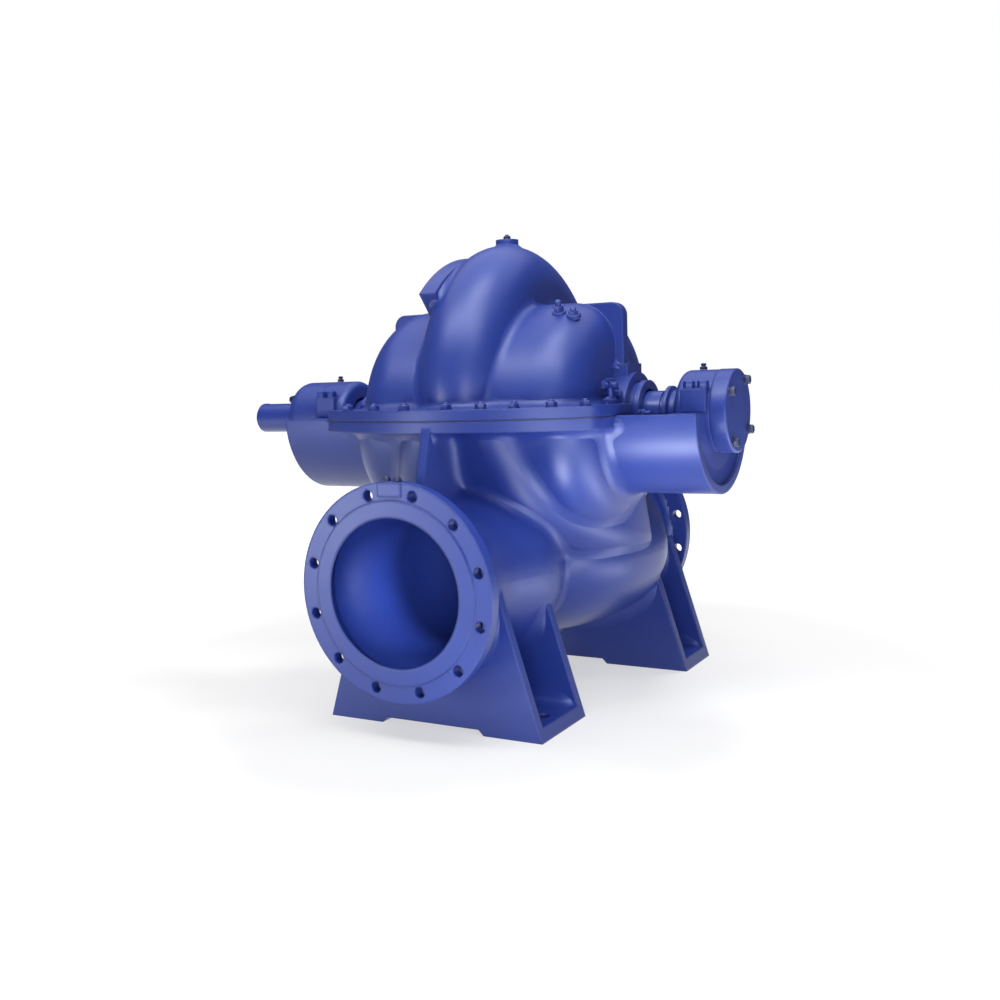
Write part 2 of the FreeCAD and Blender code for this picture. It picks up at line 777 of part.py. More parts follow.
# Casing: the two castings
span = s.coupling_length + bracket_ends["de"] + s.drive_cover_length
floor = s.shaft_height + s.cut_margin
above_split = block("above_split", (-span, span), (-span, span), (Size.of(0), span))
below_split = block("below_split", (-span, span), (-span, span), (-span - floor, Size.of(0)))


def hollowed(name, whole):
    """A casing half with the water's way, the bores, the gland pockets and the bolt holes cut out of it."""
    for tool in [suction_way, volute_inside] + bores + pockets:
        whole = cut(f"{name}_{tool.Name}", whole, tool)
    return cut(f"{name}_drilled", whole, drilled)


lower_shell = hollowed("lower", lower_outer)
lower_casing = cut("lower_casing", fused("lower_whole", [lower_shell] + brackets), above_split)
upper_casing = cut("upper_casing", hollowed("upper", cut("upper_half", upper_outer, below_split)), below_split)

# Rotor
drive_cover_face = housing_end + s.drive_cover_length
coupling_end = drive_cover_face + s.coupling_length
seat_start = housing_start - s.thrower_gap
shaft_body = turned("shaft", (
    (-coupling_end, 0),
    (housing_end + s.shaft_tail, 0),
    (housing_end + s.shaft_tail, s.bearing_seat_radius),
    (seat_start, s.bearing_seat_radius),
    (seat_start, s.shaft_radius),
    (-seat_start, s.shaft_radius),
    (-seat_start, s.bearing_seat_radius),
    (-housing_end, s.bearing_seat_radius),
    (-housing_end, s.cover_journal_radius),
    (-drive_cover_face - s.coupling_gap, s.cover_journal_radius),
    (-drive_cover_face - s.coupling_gap, s.coupling_radius),
    (-coupling_end + s.shaft_chamfer, s.coupling_radius),
    (-coupling_end, s.coupling_radius - s.shaft_chamfer),
))
key_room = block("keyway", (-coupling_end + s.key_end_gap, -coupling_end + s.key_end_gap + s.key_length),
                 (-s.key_width / 2, s.key_width / 2),
                 (s.coupling_radius - s.key_depth, s.coupling_radius + s.cut_margin))
shaft = cut("shaft_keyed", shaft_body, key_room)


def vane_shapes():
    """Backward-curved vanes, each an arc-shaped wall between the shrouds."""
    inner = s.impeller_eye_radius.value
    tip = s.impeller_radius.value
    sweep = s.vane_sweep_radius.value
    thick = s.vane_thickness.value
    half = s.impeller_half_width.value - s.shroud_thickness.value / 2
    start = FreeCAD.Vector(-half, inner, 0)
    end_angle = math.radians(s.vane_turn_degrees.value)
    end = FreeCAD.Vector(-half, tip * math.cos(end_angle), tip * math.sin(end_angle))
    chord = end - start
    side = FreeCAD.Vector(0, -chord.z, chord.y).normalize()
    bow = sweep - math.sqrt(sweep ** 2 - (chord.Length / 2) ** 2)
    middle = start + chord * 0.5 - side * bow
    spine = [start, middle, end]
    front = [point + side * (thick / 2) for point in spine]
    back = [point - side * (thick / 2) for point in spine]
    wire = Part.Wire([arch(*front), straight(front[2], back[2]), arch(*back[::-1]), straight(back[0], front[0])])
    vane = Part.Face(wire).extrude(FreeCAD.Vector(2 * half, 0, 0))
    vanes = []
    count = int(s.vane_count.value)
    for index in range(count):
        copy = vane.copy()
        copy.rotate(FreeCAD.Vector(), FreeCAD.Vector(1, 0, 0), 360.0 * index / count)
        vanes.append(copy)
    return Part.makeCompound(vanes)


neck_end = s.impeller_half_width + s.impeller_neck_length
hub_end = neck_end + s.impeller_hub_length
eye_inside = s.impeller_neck_radius - s.shroud_thickness
shrouds = [
    turned(f"shroud_{tag}", (
        (side * (s.impeller_half_width - s.shroud_thickness), s.impeller_radius),
        (side * s.impeller_half_width, s.impeller_radius),
        (side * (s.impeller_half_width + s.shroud_thickness / 2), s.impeller_neck_radius),
        (side * neck_end, s.impeller_neck_radius),
        (side * neck_end, eye_inside),
        (side * (s.impeller_half_width - s.shroud_thickness / 2), eye_inside),
    ))
    for tag, side in SIDES
]
bore = s.impeller_bore_radius + s.seat_clearance
hub = turned("impeller_hub", (
    (-hub_end, bore),
    (hub_end, bore),
    (hub_end, s.impeller_hub_radius),
    (s.shroud_thickness * 2, s.impeller_eye_radius),
    (s.shroud_thickness / 2, s.impeller_neck_radius),
    (s.shroud_thickness / 2, s.impeller_radius),
    (-s.shroud_thickness / 2, s.impeller_radius),
    (-s.shroud_thickness / 2, s.impeller_neck_radius),
    (-s.shroud_thickness * 2, s.impeller_eye_radius),
    (-hub_end, s.impeller_hub_radius),
))
impeller = fused("impeller", [hub, formed("impeller_vanes", vane_shapes())] + shrouds)

parts = {
    "lower_casing": lower_casing,
    "upper_casing": upper_casing,
    "shaft": shaft,
    "impeller": impeller,
}

# Pieces that each end has one of
sleeve_end = box_end + s.sleeve_reach
thrower_start = sleeve_end + s.thrower_gap
thrower_end = thrower_start + s.thrower_length
flange_start = box_end + s.gland_lead
gland_end = flange_start + s.gland_flange_length
packing_end = flange_start - s.gland_nose_length
gland_start = packing_end + s.seat_clearance
box_in = s.chamber_half_length - s.casing_wall
bearing_start = housing_start + s.housing_back_wall + s.bearing_gap
for tag, side in SIDES:
    parts[f"wear_ring_{tag}"] = ring(
        f"wear_ring_{tag}", side * case_half, side * (neck_end + s.wear_ring_lip),
        s.impeller_neck_radius + s.seal_clearance, ring_seat - s.seat_clearance)
    parts[f"shaft_sleeve_{tag}"] = ring(
        f"shaft_sleeve_{tag}", side * (hub_end + s.seat_clearance), side * sleeve_end,
        s.shaft_radius + s.seat_clearance, s.sleeve_radius)
    parts[f"thrower_{tag}"] = turned(f"thrower_{tag}", (
        (side * thrower_start, s.shaft_radius + s.seat_clearance),
        (side * thrower_end, s.shaft_radius + s.seat_clearance),
        (side * thrower_end, s.sleeve_radius),
        (side * (thrower_start + s.thrower_length / 2), s.sleeve_radius),
        (side * (thrower_start + s.thrower_length / 3), s.thrower_radius),
        (side * thrower_start, s.thrower_radius),
    ))
    parts[f"packing_{tag}"] = ring(
        f"packing_{tag}", side * box_in, side * packing_end, s.sleeve_radius + s.seal_clearance,
        s.stuffing_box_bore_radius - s.seat_clearance)
    gland_bore = s.sleeve_radius + s.gland_bore_gap
    gland_nose = s.stuffing_box_bore_radius - s.seat_clearance
    parts[f"gland_{tag}"] = turned(f"gland_{tag}", (
        (side * gland_start, gland_bore),
        (side * gland_end, gland_bore),
        (side * gland_end, s.gland_radius),
        (side * flange_start, s.gland_radius),
        (side * flange_start, gland_nose),
        (side * gland_start, gland_nose),
    ))
    housing_bore = s.shaft_radius + s.gland_bore_gap
    back_wall = housing_start + s.housing_back_wall
    housing_drum = rounded(turned(f"housing_drum_{tag}", (
        (side * housing_start, housing_bore),
        (side * back_wall, housing_bore),
        (side * back_wall, s.housing_bore_radius),
        (side * housing_end, s.housing_bore_radius),
        (side * housing_end, s.housing_radius),
        (side * housing_start, s.housing_radius),
    )), ((side * housing_start, s.housing_radius),), s.housing_round)
    shoulder_in = housing_start + s.shoulder_inset
    shoulder_out = housing_end - s.shoulder_end_inset
    shoulders = block(f"housing_shoulders_{tag}",
                      (shoulder_in, shoulder_out) if side > 0 else (-shoulder_out, -shoulder_in),
                      (-s.shoulder_half_width, s.shoulder_half_width), (s.seat_clearance, s.shoulder_height))
    shoulder_room = cylinder(f"housing_room_{tag}", "X" if side > 0 else "-X",
                             s.housing_radius - s.shoulder_lap, housing_end + s.cut_margin)
    shoulder_rest = cut(f"housing_shoulder_rest_{tag}", shoulders, shoulder_room)
    parts[f"bearing_housing_{tag}"] = fused(f"bearing_housing_{tag}", (housing_drum, shoulder_rest))
    parts[f"bearing_{tag}"] = ring(
        f"bearing_{tag}", side * bearing_start, side * (bearing_start + s.bearing_length),
        s.bearing_seat_radius + s.running_clearance, s.housing_bore_radius - s.seat_clearance)

rim_start = housing_end + s.seat_clearance
free_face = housing_end + s.free_cover_length
parts["bearing_cover_nde"] = rounded(turned("bearing_cover_nde", (
    (rim_start, s.housing_bore_radius),
    (rim_start, s.cover_radius),
    (free_face, s.cover_radius),
    (free_face, 0),
    (free_face - s.cover_front_wall, 0),
    (free_face - s.cover_front_wall, s.housing_bore_radius),
)), ((free_face, s.cover_radius),), s.free_cover_round)
drive_bore = s.cover_journal_radius + s.seal_clearance
parts["bearing_cover_de"] = rounded(turned("bearing_cover_de", (
    (-rim_start, s.housing_bore_radius),
    (-rim_start, s.drive_cover_radius),
    (-drive_cover_face, s.drive_cover_radius),
    (-drive_cover_face, drive_bore),
    (-drive_cover_face + s.cover_front_wall, drive_bore),
    (-drive_cover_face + s.cover_front_wall, s.housing_bore_radius),
)), ((-drive_cover_face, s.drive_cover_radius),), s.drive_cover_round)

# Small fittings
parts["vent_plug"] = cylinder("vent_plug", "Z", s.vent_plug_radius, s.vent_plug_height,
                              z=crest_top + s.vent_boss_height + s.seat_clearance)
for tag, side in SIDES:
    nipple_at = housing_end + (-s.nipple_inset if side > 0 else -s.drive_nipple_inset)
    parts[f"grease_nipple_{tag}"] = cylinder(
        f"grease_nipple_{tag}", "Z", s.nipple_radius, s.nipple_height, side * nipple_at, 0,
        s.housing_radius + s.seat_clearance)
    parts[f"tap_plug_{tag}"] = cylinder(
        f"tap_plug_{tag}", "Z", s.tap_plug_radius, s.tap_plug_height, s.tap_plug_spacing * (side / 2),
        -s.discharge_face + s.discharge_flange_thickness / 2, flange_top + s.seat_clearance)

# Lift each sub-part from the shaft axis to its height above the ground
folder = "parts"
os.makedirs(folder, exist_ok=True)
for name, item in parts.items():
    item.Label = name
    lifted = heights.get(item.Name, Size.of(0)) + s.shaft_height
    item.setExpression("Placement.Base.z", lifted.text)
doc.recompute()
faults = [item.Label for item in doc.Objects if {"Invalid", "Error"} & set(item.State)]
if faults:
    raise RuntimeError(f"not built: {faults}")
for name, item in parts.items():
    shape = item.Shape
    if shape.isNull() or not shape.isValid():
        raise RuntimeError(f"{name} has no valid shape")
    shape.exportStep(f"{folder}/{name}.step")
    box = shape.BoundBox
    print(f"{name}: {len(shape.Solids)} solid, {shape.Volume / 1e6:.2f} l, "
          f"x {box.XMin:.0f} {box.XMax:.0f} y {box.YMin:.0f} {box.YMax:.0f} z {box.ZMin:.0f} {box.ZMax:.0f}")
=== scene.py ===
"""Looks of the double-suction pump: paint, small fittings, floor, light and camera around the CAD part."""

import json
import logging
import math
from dataclasses import dataclass, field
from enum import Enum
from typing import Iterable, Sequence, Union

import bmesh
import bpy
from mathutils import Matrix, Vector
from mathutils.bvhtree import BVHTree


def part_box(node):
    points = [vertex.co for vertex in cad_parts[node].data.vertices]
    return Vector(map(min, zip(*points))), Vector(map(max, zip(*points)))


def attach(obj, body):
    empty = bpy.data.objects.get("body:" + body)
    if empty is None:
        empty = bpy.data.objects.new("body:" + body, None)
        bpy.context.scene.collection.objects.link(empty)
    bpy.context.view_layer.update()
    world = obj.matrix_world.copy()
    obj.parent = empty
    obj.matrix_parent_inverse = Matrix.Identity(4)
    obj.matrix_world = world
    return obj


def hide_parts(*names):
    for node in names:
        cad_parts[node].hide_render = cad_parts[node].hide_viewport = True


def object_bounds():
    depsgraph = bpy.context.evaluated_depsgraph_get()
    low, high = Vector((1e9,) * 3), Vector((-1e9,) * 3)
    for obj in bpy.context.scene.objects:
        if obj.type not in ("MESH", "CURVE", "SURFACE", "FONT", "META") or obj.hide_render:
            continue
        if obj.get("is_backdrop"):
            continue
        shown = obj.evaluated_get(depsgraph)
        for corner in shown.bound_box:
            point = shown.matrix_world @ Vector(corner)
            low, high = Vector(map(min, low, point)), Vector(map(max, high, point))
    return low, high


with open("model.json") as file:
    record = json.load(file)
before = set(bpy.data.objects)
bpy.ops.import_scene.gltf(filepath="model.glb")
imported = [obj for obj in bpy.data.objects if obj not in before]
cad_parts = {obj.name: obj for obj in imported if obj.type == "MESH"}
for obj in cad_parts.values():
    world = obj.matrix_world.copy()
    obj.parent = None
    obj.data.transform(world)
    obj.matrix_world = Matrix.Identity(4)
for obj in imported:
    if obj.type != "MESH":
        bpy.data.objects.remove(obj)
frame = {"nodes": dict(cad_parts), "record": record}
log = logging.getLogger("pump")

PUMP = "pump"
ENDS = {"de": -1.0, "nde": 1.0}
SHARP_ANGLE = math.radians(32)
Number = Union[float, "Value"]


# Shader graph
class Operation(Enum):
    """Sums that a Value can do, by the name of their Math node's setting."""

    ADD = "ADD"
    SUBTRACT = "SUBTRACT"
    MULTIPLY = "MULTIPLY"


class Value:
    """An output socket that does sums by adding nodes to its graph."""

    def __init__(self, graph: "Graph", socket: bpy.types.NodeSocket) -> None:
        """Hold a socket and the graph that it's in."""
        self.graph = graph
        self.socket = socket

    def __add__(self, other: Number) -> "Value":
        """This value plus a number."""
        return self.graph.sum(Operation.ADD, self, other)

    def __radd__(self, other: Number) -> "Value":
        """A number plus this value."""
        return self.graph.sum(Operation.ADD, other, self)

    def __sub__(self, other: Number) -> "Value":
        """This value less a number."""
        return self.graph.sum(Operation.SUBTRACT, self, other)

    def __rsub__(self, other: Number) -> "Value":
        """A number less this value."""
        return self.graph.sum(Operation.SUBTRACT, other, self)

    def __mul__(self, other: Number) -> "Value":
        """This value times a number."""
        return self.graph.sum(Operation.MULTIPLY, self, other)


class Graph:
    """A node tree with one method that makes any node."""

    MIX_COLOURS = (6, 7)
    MIX_RESULT = 2

    def __init__(self, tree: bpy.types.NodeTree) -> None:
        """Hold a node tree and empty it."""
        self.tree = tree
        tree.nodes.clear()

    def node(self, kind: str, inputs: dict | None = None, output: int | str = 0,
             **settings: object) -> Value:
        """Add a node and return one of its outputs.

        Args:
            kind: the node's type name, without its ShaderNode prefix.
            inputs: what each input takes, by name or number: a Value, a number or a tuple.
            output: the output to return, by name or number.
            settings: attributes of the node.

        Returns:
            The chosen output as a Value.
        """
        node = self.tree.nodes.new(f"ShaderNode{kind}")
        for name, setting in settings.items():
            setattr(node, name, setting)
        for name, given in (inputs or {}).items():
            if isinstance(given, Value):
                self.tree.links.new(given.socket, node.inputs[name])
            else:
                node.inputs[name].default_value = given
        return Value(self, node.outputs[output] if len(node.outputs) else None)

    def sum(self, operation: Operation, first: Number, second: Number, clamp: bool = False) -> Value:
        """Two numbers joined by a Math node, held between 0 and 1 if clamped."""
        return self.node("Math", {0: first, 1: second}, operation=operation.value, use_clamp=clamp)

    def mixed(self, factor: Number, first: "Colour | Value", second: "Colour | Value") -> Value:
        """Two colours mixed by a factor.

        Args:
            factor: 0 for the first colour, 1 for the second.
            first: a colour.
            second: another colour.

        Returns:
            The mixed colour.
        """
        colours = [colour if isinstance(colour, Value) else colour.rgba for colour in (first, second)]
        sockets = dict(zip(self.MIX_COLOURS, colours))
        return self.node("Mix", {0: factor, **sockets}, output=self.MIX_RESULT, data_type="RGBA")

    def noise(self, scale: float, detail: float = 2.0, roughness: float = 0.5) -> Value:
        """Noise over the part's own coordinates, in metres.

        Args:
            scale: its features per metre.
            detail: how many finer layers it has.
            roughness: how strong they are.

        Returns:
            The noise, about 0.5.
        """
        place = self.node("TexCoord", output="Object")
        inputs = {"Vector": place, "Scale": scale, "Detail": detail, "Roughness": roughness}
        return self.node("TexNoise", inputs)

    def spread(self, value: Value, start: float, end: float, low: float, high: float) -> Value:
        """A value moved from one range to another, and held there."""
        return self.node("MapRange", {0: value, 1: start, 2: end, 3: low, 4: high})


def new_material(name: str) -> tuple[bpy.types.Material, Graph]:
    """A new material and its empty graph."""
    material = bpy.data.materials.new(name)
    material.use_nodes = True
    return material, Graph(material.node_tree)


@dataclass(frozen=True)
class Colour:
    """A colour as linear light."""

    red: float
    green: float
    blue: float

    @property
    def rgba(self) -> tuple[float, float, float, float]:
        """The colour with full alpha."""
        return (self.red, self.green, self.blue, 1.0)

    def times(self, factor: float) -> "Colour":
        """The colour made lighter or darker."""
        return Colour(self.red * factor, self.green * factor, self.blue * factor)


@dataclass(frozen=True)
class Paint:
    """Semi-gloss machine paint over a casting or a turned surface.

    Args:
        name: the material's name.
        colour: the paint's colour.
        roughness: the mean roughness of its skin.
        grain: the cast skin's depth, in metres.
        edge: the radius of sharp edges, in metres.
        ior: how strongly the paint mirrors.
        sheen: the tint of what it mirrors.
        coat: the share of the paint's clear skin.
        coat_roughness: the roughness of that skin.
        tone: how far the colour wanders to either side.
        sheen_lift: how much paler thin patches are.
        patch_share: how much of that the palest take.
        scales: features per metre of the broad tone, patches, ripple and grit.
        polish: how far tone and patches move the roughness.
        ripple_share: the ripple's share of the cast skin, against grit.
        bump: how strongly the cast skin shows.
        bevel_samples: how finely edges are rounded.
    """

    name: str
    colour: Colour
    roughness: float = 0.43
    grain: float = 0.0004
    edge: float = 0.006
    ior: float = 1.58
    sheen: Colour = Colour(0.60, 0.70, 1.0)
    coat: float = 0.5
    coat_roughness: float = 0.38
    tone: float = 0.06
    sheen_lift: float = 1.22
    patch_share: float = 0.35
    scales: tuple[float, float, float, float] = (5.0, 38.0, 55.0, 420.0)
    polish: tuple[float, float] = (0.10, 0.08)
    ripple_share: float = 0.8
    bump: float = 0.35
    bevel_samples: int = 4

    def build(self) -> bpy.types.Material:
        """Make the material."""
        material, graph = new_material(self.name)
        broad_scale, patch_scale, ripple_scale, grit_scale = self.scales
        broad = graph.noise(broad_scale, 3.0)
        patches = graph.noise(patch_scale, 2.0)
        wander = graph.spread(broad, 0.35, 0.65, 0.0, 1.0)
        colour = graph.mixed(wander, self.colour.times(1 - self.tone), self.colour.times(1 + self.tone))
        lift = self.sheen_lift
        lifted = Colour(self.colour.red * lift, self.colour.green * lift, self.colour.blue)
        colour = graph.mixed(graph.spread(patches, 0.45, 0.75, 0.0, self.patch_share), colour, lifted)
        broad_polish, patch_polish = self.polish
        roughness = self.roughness + (broad - 0.5) * broad_polish + (patches - 0.5) * patch_polish
        soft = graph.node("Bevel", {"Radius": self.edge}, samples=self.bevel_samples)
        ripple = graph.noise(ripple_scale, 1.0)
        grit = graph.noise(grit_scale, 3.0, 0.6)
        height = ripple * self.ripple_share + grit * (1 - self.ripple_share)
        normal = graph.node(
            "Bump", {"Strength": self.bump, "Distance": self.grain, "Height": height, "Normal": soft})
        surface = graph.node("BsdfPrincipled", {
            "Base Color": colour, "Roughness": roughness, "Normal": normal, "IOR": self.ior,
            "Specular Tint": self.sheen.rgba,
            "Coat Weight": self.coat, "Coat Roughness": self.coat_roughness, "Coat Normal": soft})
        graph.node("OutputMaterial", {"Surface": surface})
        return material


@dataclass(frozen=True)
class Metal:
    """Bare machined or cast metal with fine turning marks.

    Args:
        name: the material's name.
        colour: the metal's colour.
        roughness: the mean roughness.
        marks: how close the turning marks lie.
        stain: how dark the stains are against the clean metal.
        stain_scale: features per metre of the stains.
        wear: how much rougher stains and marks are.
        relief: the marks' strength and depth in metres.
    """

    name: str
    colour: Colour
    roughness: float = 0.3
    marks: float = 45.0
    stain: float = 0.62
    stain_scale: float = 24.0
    wear: tuple[float, float] = (0.25, 0.06)
    relief: tuple[float, float] = (0.25, 0.0002)

    def build(self) -> bpy.types.Material:
        """Make the material."""
        material, graph = new_material(self.name)
        place = graph.node("TexCoord", output="Object")
        turning = graph.node(
            "TexWave", {"Vector": place, "Scale": self.marks, "Distortion": 0.6, "Detail": 2.0},
            bands_direction="X")
        stain = graph.spread(graph.noise(self.stain_scale, 4.0), 0.4, 0.7, 0.0, 0.6)
        colour = graph.mixed(stain, self.colour, self.colour.times(self.stain))
        stain_wear, turning_wear = self.wear
        roughness = self.roughness + stain * stain_wear + turning * turning_wear
        strength, depth = self.relief
        normal = graph.node("Bump", {"Strength": strength, "Distance": depth, "Height": turning})
        surface = graph.node("BsdfPrincipled", {
            "Base Color": colour, "Metallic": 1.0, "Roughness": roughness, "Normal": normal})
        graph.node("OutputMaterial", {"Surface": surface})
        return material


@dataclass(frozen=True)
class Braid:
    """Greased packing braid, seen as small diagonal strands.

    Args:
        name: the material's name.
        colour: the braid's colour.
        strands: how fine the strands are.
        roughness: the roughness between the strands.
        relief: the strands' strength and depth in metres.
    """

    name: str
    colour: Colour
    strands: float = 160.0
    roughness: float = 0.7
    relief: tuple[float, float] = (0.6, 0.001)

    def build(self) -> bpy.types.Material:
        """Make the material."""
        material, graph = new_material(self.name)
        place = graph.node("TexCoord", output="Object")
        weave = graph.node("TexWave", {"Vector": place, "Scale": self.strands, "Distortion": 1.0},
                           bands_direction="DIAGONAL")
        colour = graph.mixed(weave, self.colour.times(0.5), self.colour)
        strength, depth = self.relief
        normal = graph.node("Bump", {"Strength": strength, "Distance": depth, "Height": weave})
        surface = graph.node("BsdfPrincipled", {
            "Base Color": colour, "Roughness": self.roughness - weave * 0.2, "Normal": normal})
        graph.node("OutputMaterial", {"Surface": surface})
        return material


BLUE = Colour(0.0165, 0.039, 0.262)
DARK_BLUE = Colour(0.008, 0.012, 0.070)
FINISHES = {
    "blue_paint": Paint("blue_paint", BLUE),
    "painted_shaft": Paint("painted_shaft", BLUE.times(1.05), roughness=0.3, grain=0.0001, edge=0.0015),
    "sleeve_steel": Paint("sleeve_steel", BLUE.times(1.1), roughness=0.27, grain=0.0001, edge=0.0012),
    "bronze": Metal("bronze", Colour(0.50, 0.30, 0.12), roughness=0.35),
    "packing_braid": Braid("packing_braid", Colour(0.06, 0.06, 0.05)),
    "bearing_steel": Metal("bearing_steel", Colour(0.55, 0.55, 0.57), roughness=0.22),
    "dark_fittings": Paint("dark_fittings", DARK_BLUE, roughness=0.4, grain=0.0001, edge=0.0008),
}
FINE_BLUE = Paint("fine_blue_paint", BLUE, grain=0.0001, edge=0.0010)
# Near-black blue of the gasket's edge: partly a real dark joint, partly painted shade in the seam between
# the casing halves.
SEAM = Paint("seam_shadow", Colour(0.006, 0.007, 0.05), roughness=0.6, grain=0.0001, edge=0.0005)


class Finishes:
    """The materials, each made once when it's first asked for."""

    def __init__(self) -> None:
        """Start without materials."""
        self.made: dict[str, bpy.types.Material] = {}

    def get(self, finish: Paint | Metal | Braid) -> bpy.types.Material:
        """The material of a finish."""
        if finish.name not in self.made:
            self.made[finish.name] = finish.build()
        return self.made[finish.name]

    def dress(self, nodes: dict[str, bpy.types.Object], slots: dict[str, str]) -> None:
        """Give every CAD node the finish of its material slot.

        Args:
            nodes: the CAD nodes by name.
            slots: each node's material slot.
        """
        for name, node in nodes.items():
            node.data.materials.clear()
            node.data.materials.append(self.get(FINISHES[slots[name]]))
        log.info("finishes on %d CAD nodes", len(nodes))


finishes = Finishes()


# Mesh pieces
class Axis(Enum):
    """Directions that a turned or many-sided piece can point in."""

    X = Vector((1, 0, 0))
    MINUS_X = Vector((-1, 0, 0))
    Y = Vector((0, 1, 0))
    Z = Vector((0, 0, 1))


def pointing(place: Sequence[float], axis: Axis | Vector, turn: float = 0.0) -> Matrix:
    """A placement at a point with its own Z along an axis, turned about it by an angle.

    Args:
        place: the point.
        axis: the direction of its own Z.
        turn: the angle in radians.

    Returns:
        The placement.
    """
    direction = axis.value if isinstance(axis, Axis) else axis
    turned = Vector((0, 0, 1)).rotation_difference(direction).to_matrix().to_4x4()
    return Matrix.Translation(Vector(place)) @ turned @ Matrix.Rotation(turn, 4, "Z")


class Piece:
    """A mesh put together from turned and many-sided forms, or one made elsewhere."""

    HEXAGON_EASE = 0.16
    HEXAGON_FOOT = 0.93
    HEXAGON_TOP = 0.90

    def __init__(self, name: str, mesh: bmesh.types.BMesh | None = None) -> None:
        """Start from nothing or from a mesh."""
        self.name = name
        self.mesh = bmesh.new() if mesh is None else mesh

    def stack(self, rings: Sequence[tuple[float, float]], sides: int, place: Matrix,
              smooth: bool = True) -> None:
        """Add a form of stacked rings, closed at both ends.

        Args:
            rings: the radius and height of each ring, from the bottom up.
            sides: how many corners each ring has.
            place: where the form stands.
            smooth: whether its sides shade as round.
        """
        loops = []
        for radius, height in rings:
            corners = []
            for index in range(sides):
                turn = 2 * math.pi * index / sides
                point = place @ Vector((radius * math.cos(turn), radius * math.sin(turn), height))
                corners.append(self.mesh.verts.new(point))
            loops.append(corners)
        for low, high in zip(loops, loops[1:]):
            for index in range(sides):
                after = (index + 1) % sides
                face = self.mesh.faces.new((low[index], low[after], high[after], high[index]))
                face.smooth = smooth
        self.mesh.faces.new(loops[0][::-1])
        self.mesh.faces.new(loops[-1])

    def hexagon(self, radius: float, height: float, place: Matrix) -> None:
        """Add a hexagon head or nut with its corners eased off.

        Args:
            radius: to its corners.
            height: its height.
            place: where its foot stands.
        """
        ease = height * self.HEXAGON_EASE
        rings = ((radius * self.HEXAGON_FOOT, 0), (radius, ease * 0.6), (radius, height - ease),
                 (radius * self.HEXAGON_TOP, height))
        self.stack(rings, 6, place, smooth=False)

    def round(self, radius: float, height: float, place: Matrix, ease: float = 0.12,
              sides: int = 28) -> None:
        """Add a round bar or washer with an eased top edge.

        Args:
            radius: its radius.
            height: its height.
            place: where its foot stands.
            ease: the eased edge, as a share.
            sides: how many corners it has.
        """
        cut = min(radius, height) * ease
        rings = ((radius, 0), (radius, height - cut), (radius - cut, height))
        self.stack(rings, sides, place)

    def strip(self, path: Sequence[Vector], half_height: float, reach: float) -> None:
        """Add an upright strip along a path, standing out from it by a small reach.

        Args:
            path: the points along its middle.
            half_height: half its height.
            reach: half its thickness.
        """
        count = len(path)
        rows = []
        for index, point in enumerate(path):
            along = path[min(index + 1, count - 1)] - path[max(index - 1, 0)]
            out = Vector((along.y, -along.x, 0)).normalized() * reach
            rise = Vector((0, 0, half_height))
            shifts = (-out - rise, out - rise, out + rise, -out + rise)
            rows.append([self.mesh.verts.new(point + shift) for shift in shifts])
        for here, there in zip(rows, rows[1:]):
            for corner in range(4):
                after = (corner + 1) % 4
                self.mesh.faces.new((here[corner], here[after], there[after], there[corner]))
        self.mesh.faces.new(rows[0][::-1])
        self.mesh.faces.new(rows[-1])

    def build(self, material: bpy.types.Material, body: str) -> bpy.types.Object:
        """Turn the piece into an object that rides on a body.

        Args:
            material: its material.
            body: the body.

        Returns:
            The object.
        """
        bmesh.ops.recalc_face_normals(self.mesh, faces=self.mesh.faces)
        data = bpy.data.meshes.new(self.name)
        self.mesh.to_mesh(data)
        self.mesh.free()
        data.set_sharp_from_angle(angle=SHARP_ANGLE)
        data.materials.append(material)
        thing = bpy.data.objects.new(self.name, data)
        bpy.context.scene.collection.objects.link(thing)
        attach(thing, body)
        log.info("%s: %d faces on %s", self.name, len(data.polygons), body)
        return thing


@dataclass(frozen=True)
class Fastener:
    """A nut on a stud, or a bolt's head, with its washer.

    Args:
        across: the radius to the hexagon's corners.
        height: the hexagon's height.
        washer: the washer's radius.
        stud: the stud's radius, or 0 for a bolt's head.
        stand: how far the stud stands out of the nut.
        washer_height: how far the hexagon is lifted.
    """

    across: float
    height: float
    washer: float
    stud: float = 0.0
    stand: float = 0.0
    washer_height: float = 0.0025

    def add(self, piece: Piece, place: Sequence[float], axis: Axis, turn: float = 0.0) -> None:
        """Add the fastener to a piece.

        Args:
            piece: the piece.
            place: where its foot stands.
            axis: which way it points.
            turn: in radians.
        """
        base = pointing(place, axis, turn)
        if self.washer:
            piece.round(self.washer, self.washer_height, base)
        lift = Matrix.Translation(Vector((0, 0, self.washer_height)))
        piece.hexagon(self.across, self.height, base @ lift)
        if self.stud:
            piece.round(self.stud, self.washer_height + self.height + self.stand, base, ease=0.25, sides=18)


def outer_face(node: str, side: float) -> tuple[float, Axis]:
    """Where a CAD node ends along the shaft, away from the volute, and which way that points."""
    low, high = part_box(node)
    return (high.x, Axis.X) if side > 0 else (low.x, Axis.MINUS_X)


def upright(node: str, turn: float = 0.0) -> tuple[Matrix, float, float]:
    """A placement at the foot of an upright CAD node, with the node's radius and height.

    Args:
        node: the CAD node.
        turn: about its own axis, in radians.

    Returns:
        The placement, the radius and the height.
    """
    low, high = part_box(node)
    middle = (low + high) / 2
    return pointing((middle.x, middle.y, low.z), Axis.Z, turn), (high.x - low.x) / 2, high.z - low.z


def build_in_place_of(node: str, piece: Piece) -> None:
    """Build a piece as the dark fitting that stands for a CAD node."""
    thing = piece.build(finishes.get(FINISHES["dark_fittings"]), PUMP)
    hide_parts(node)


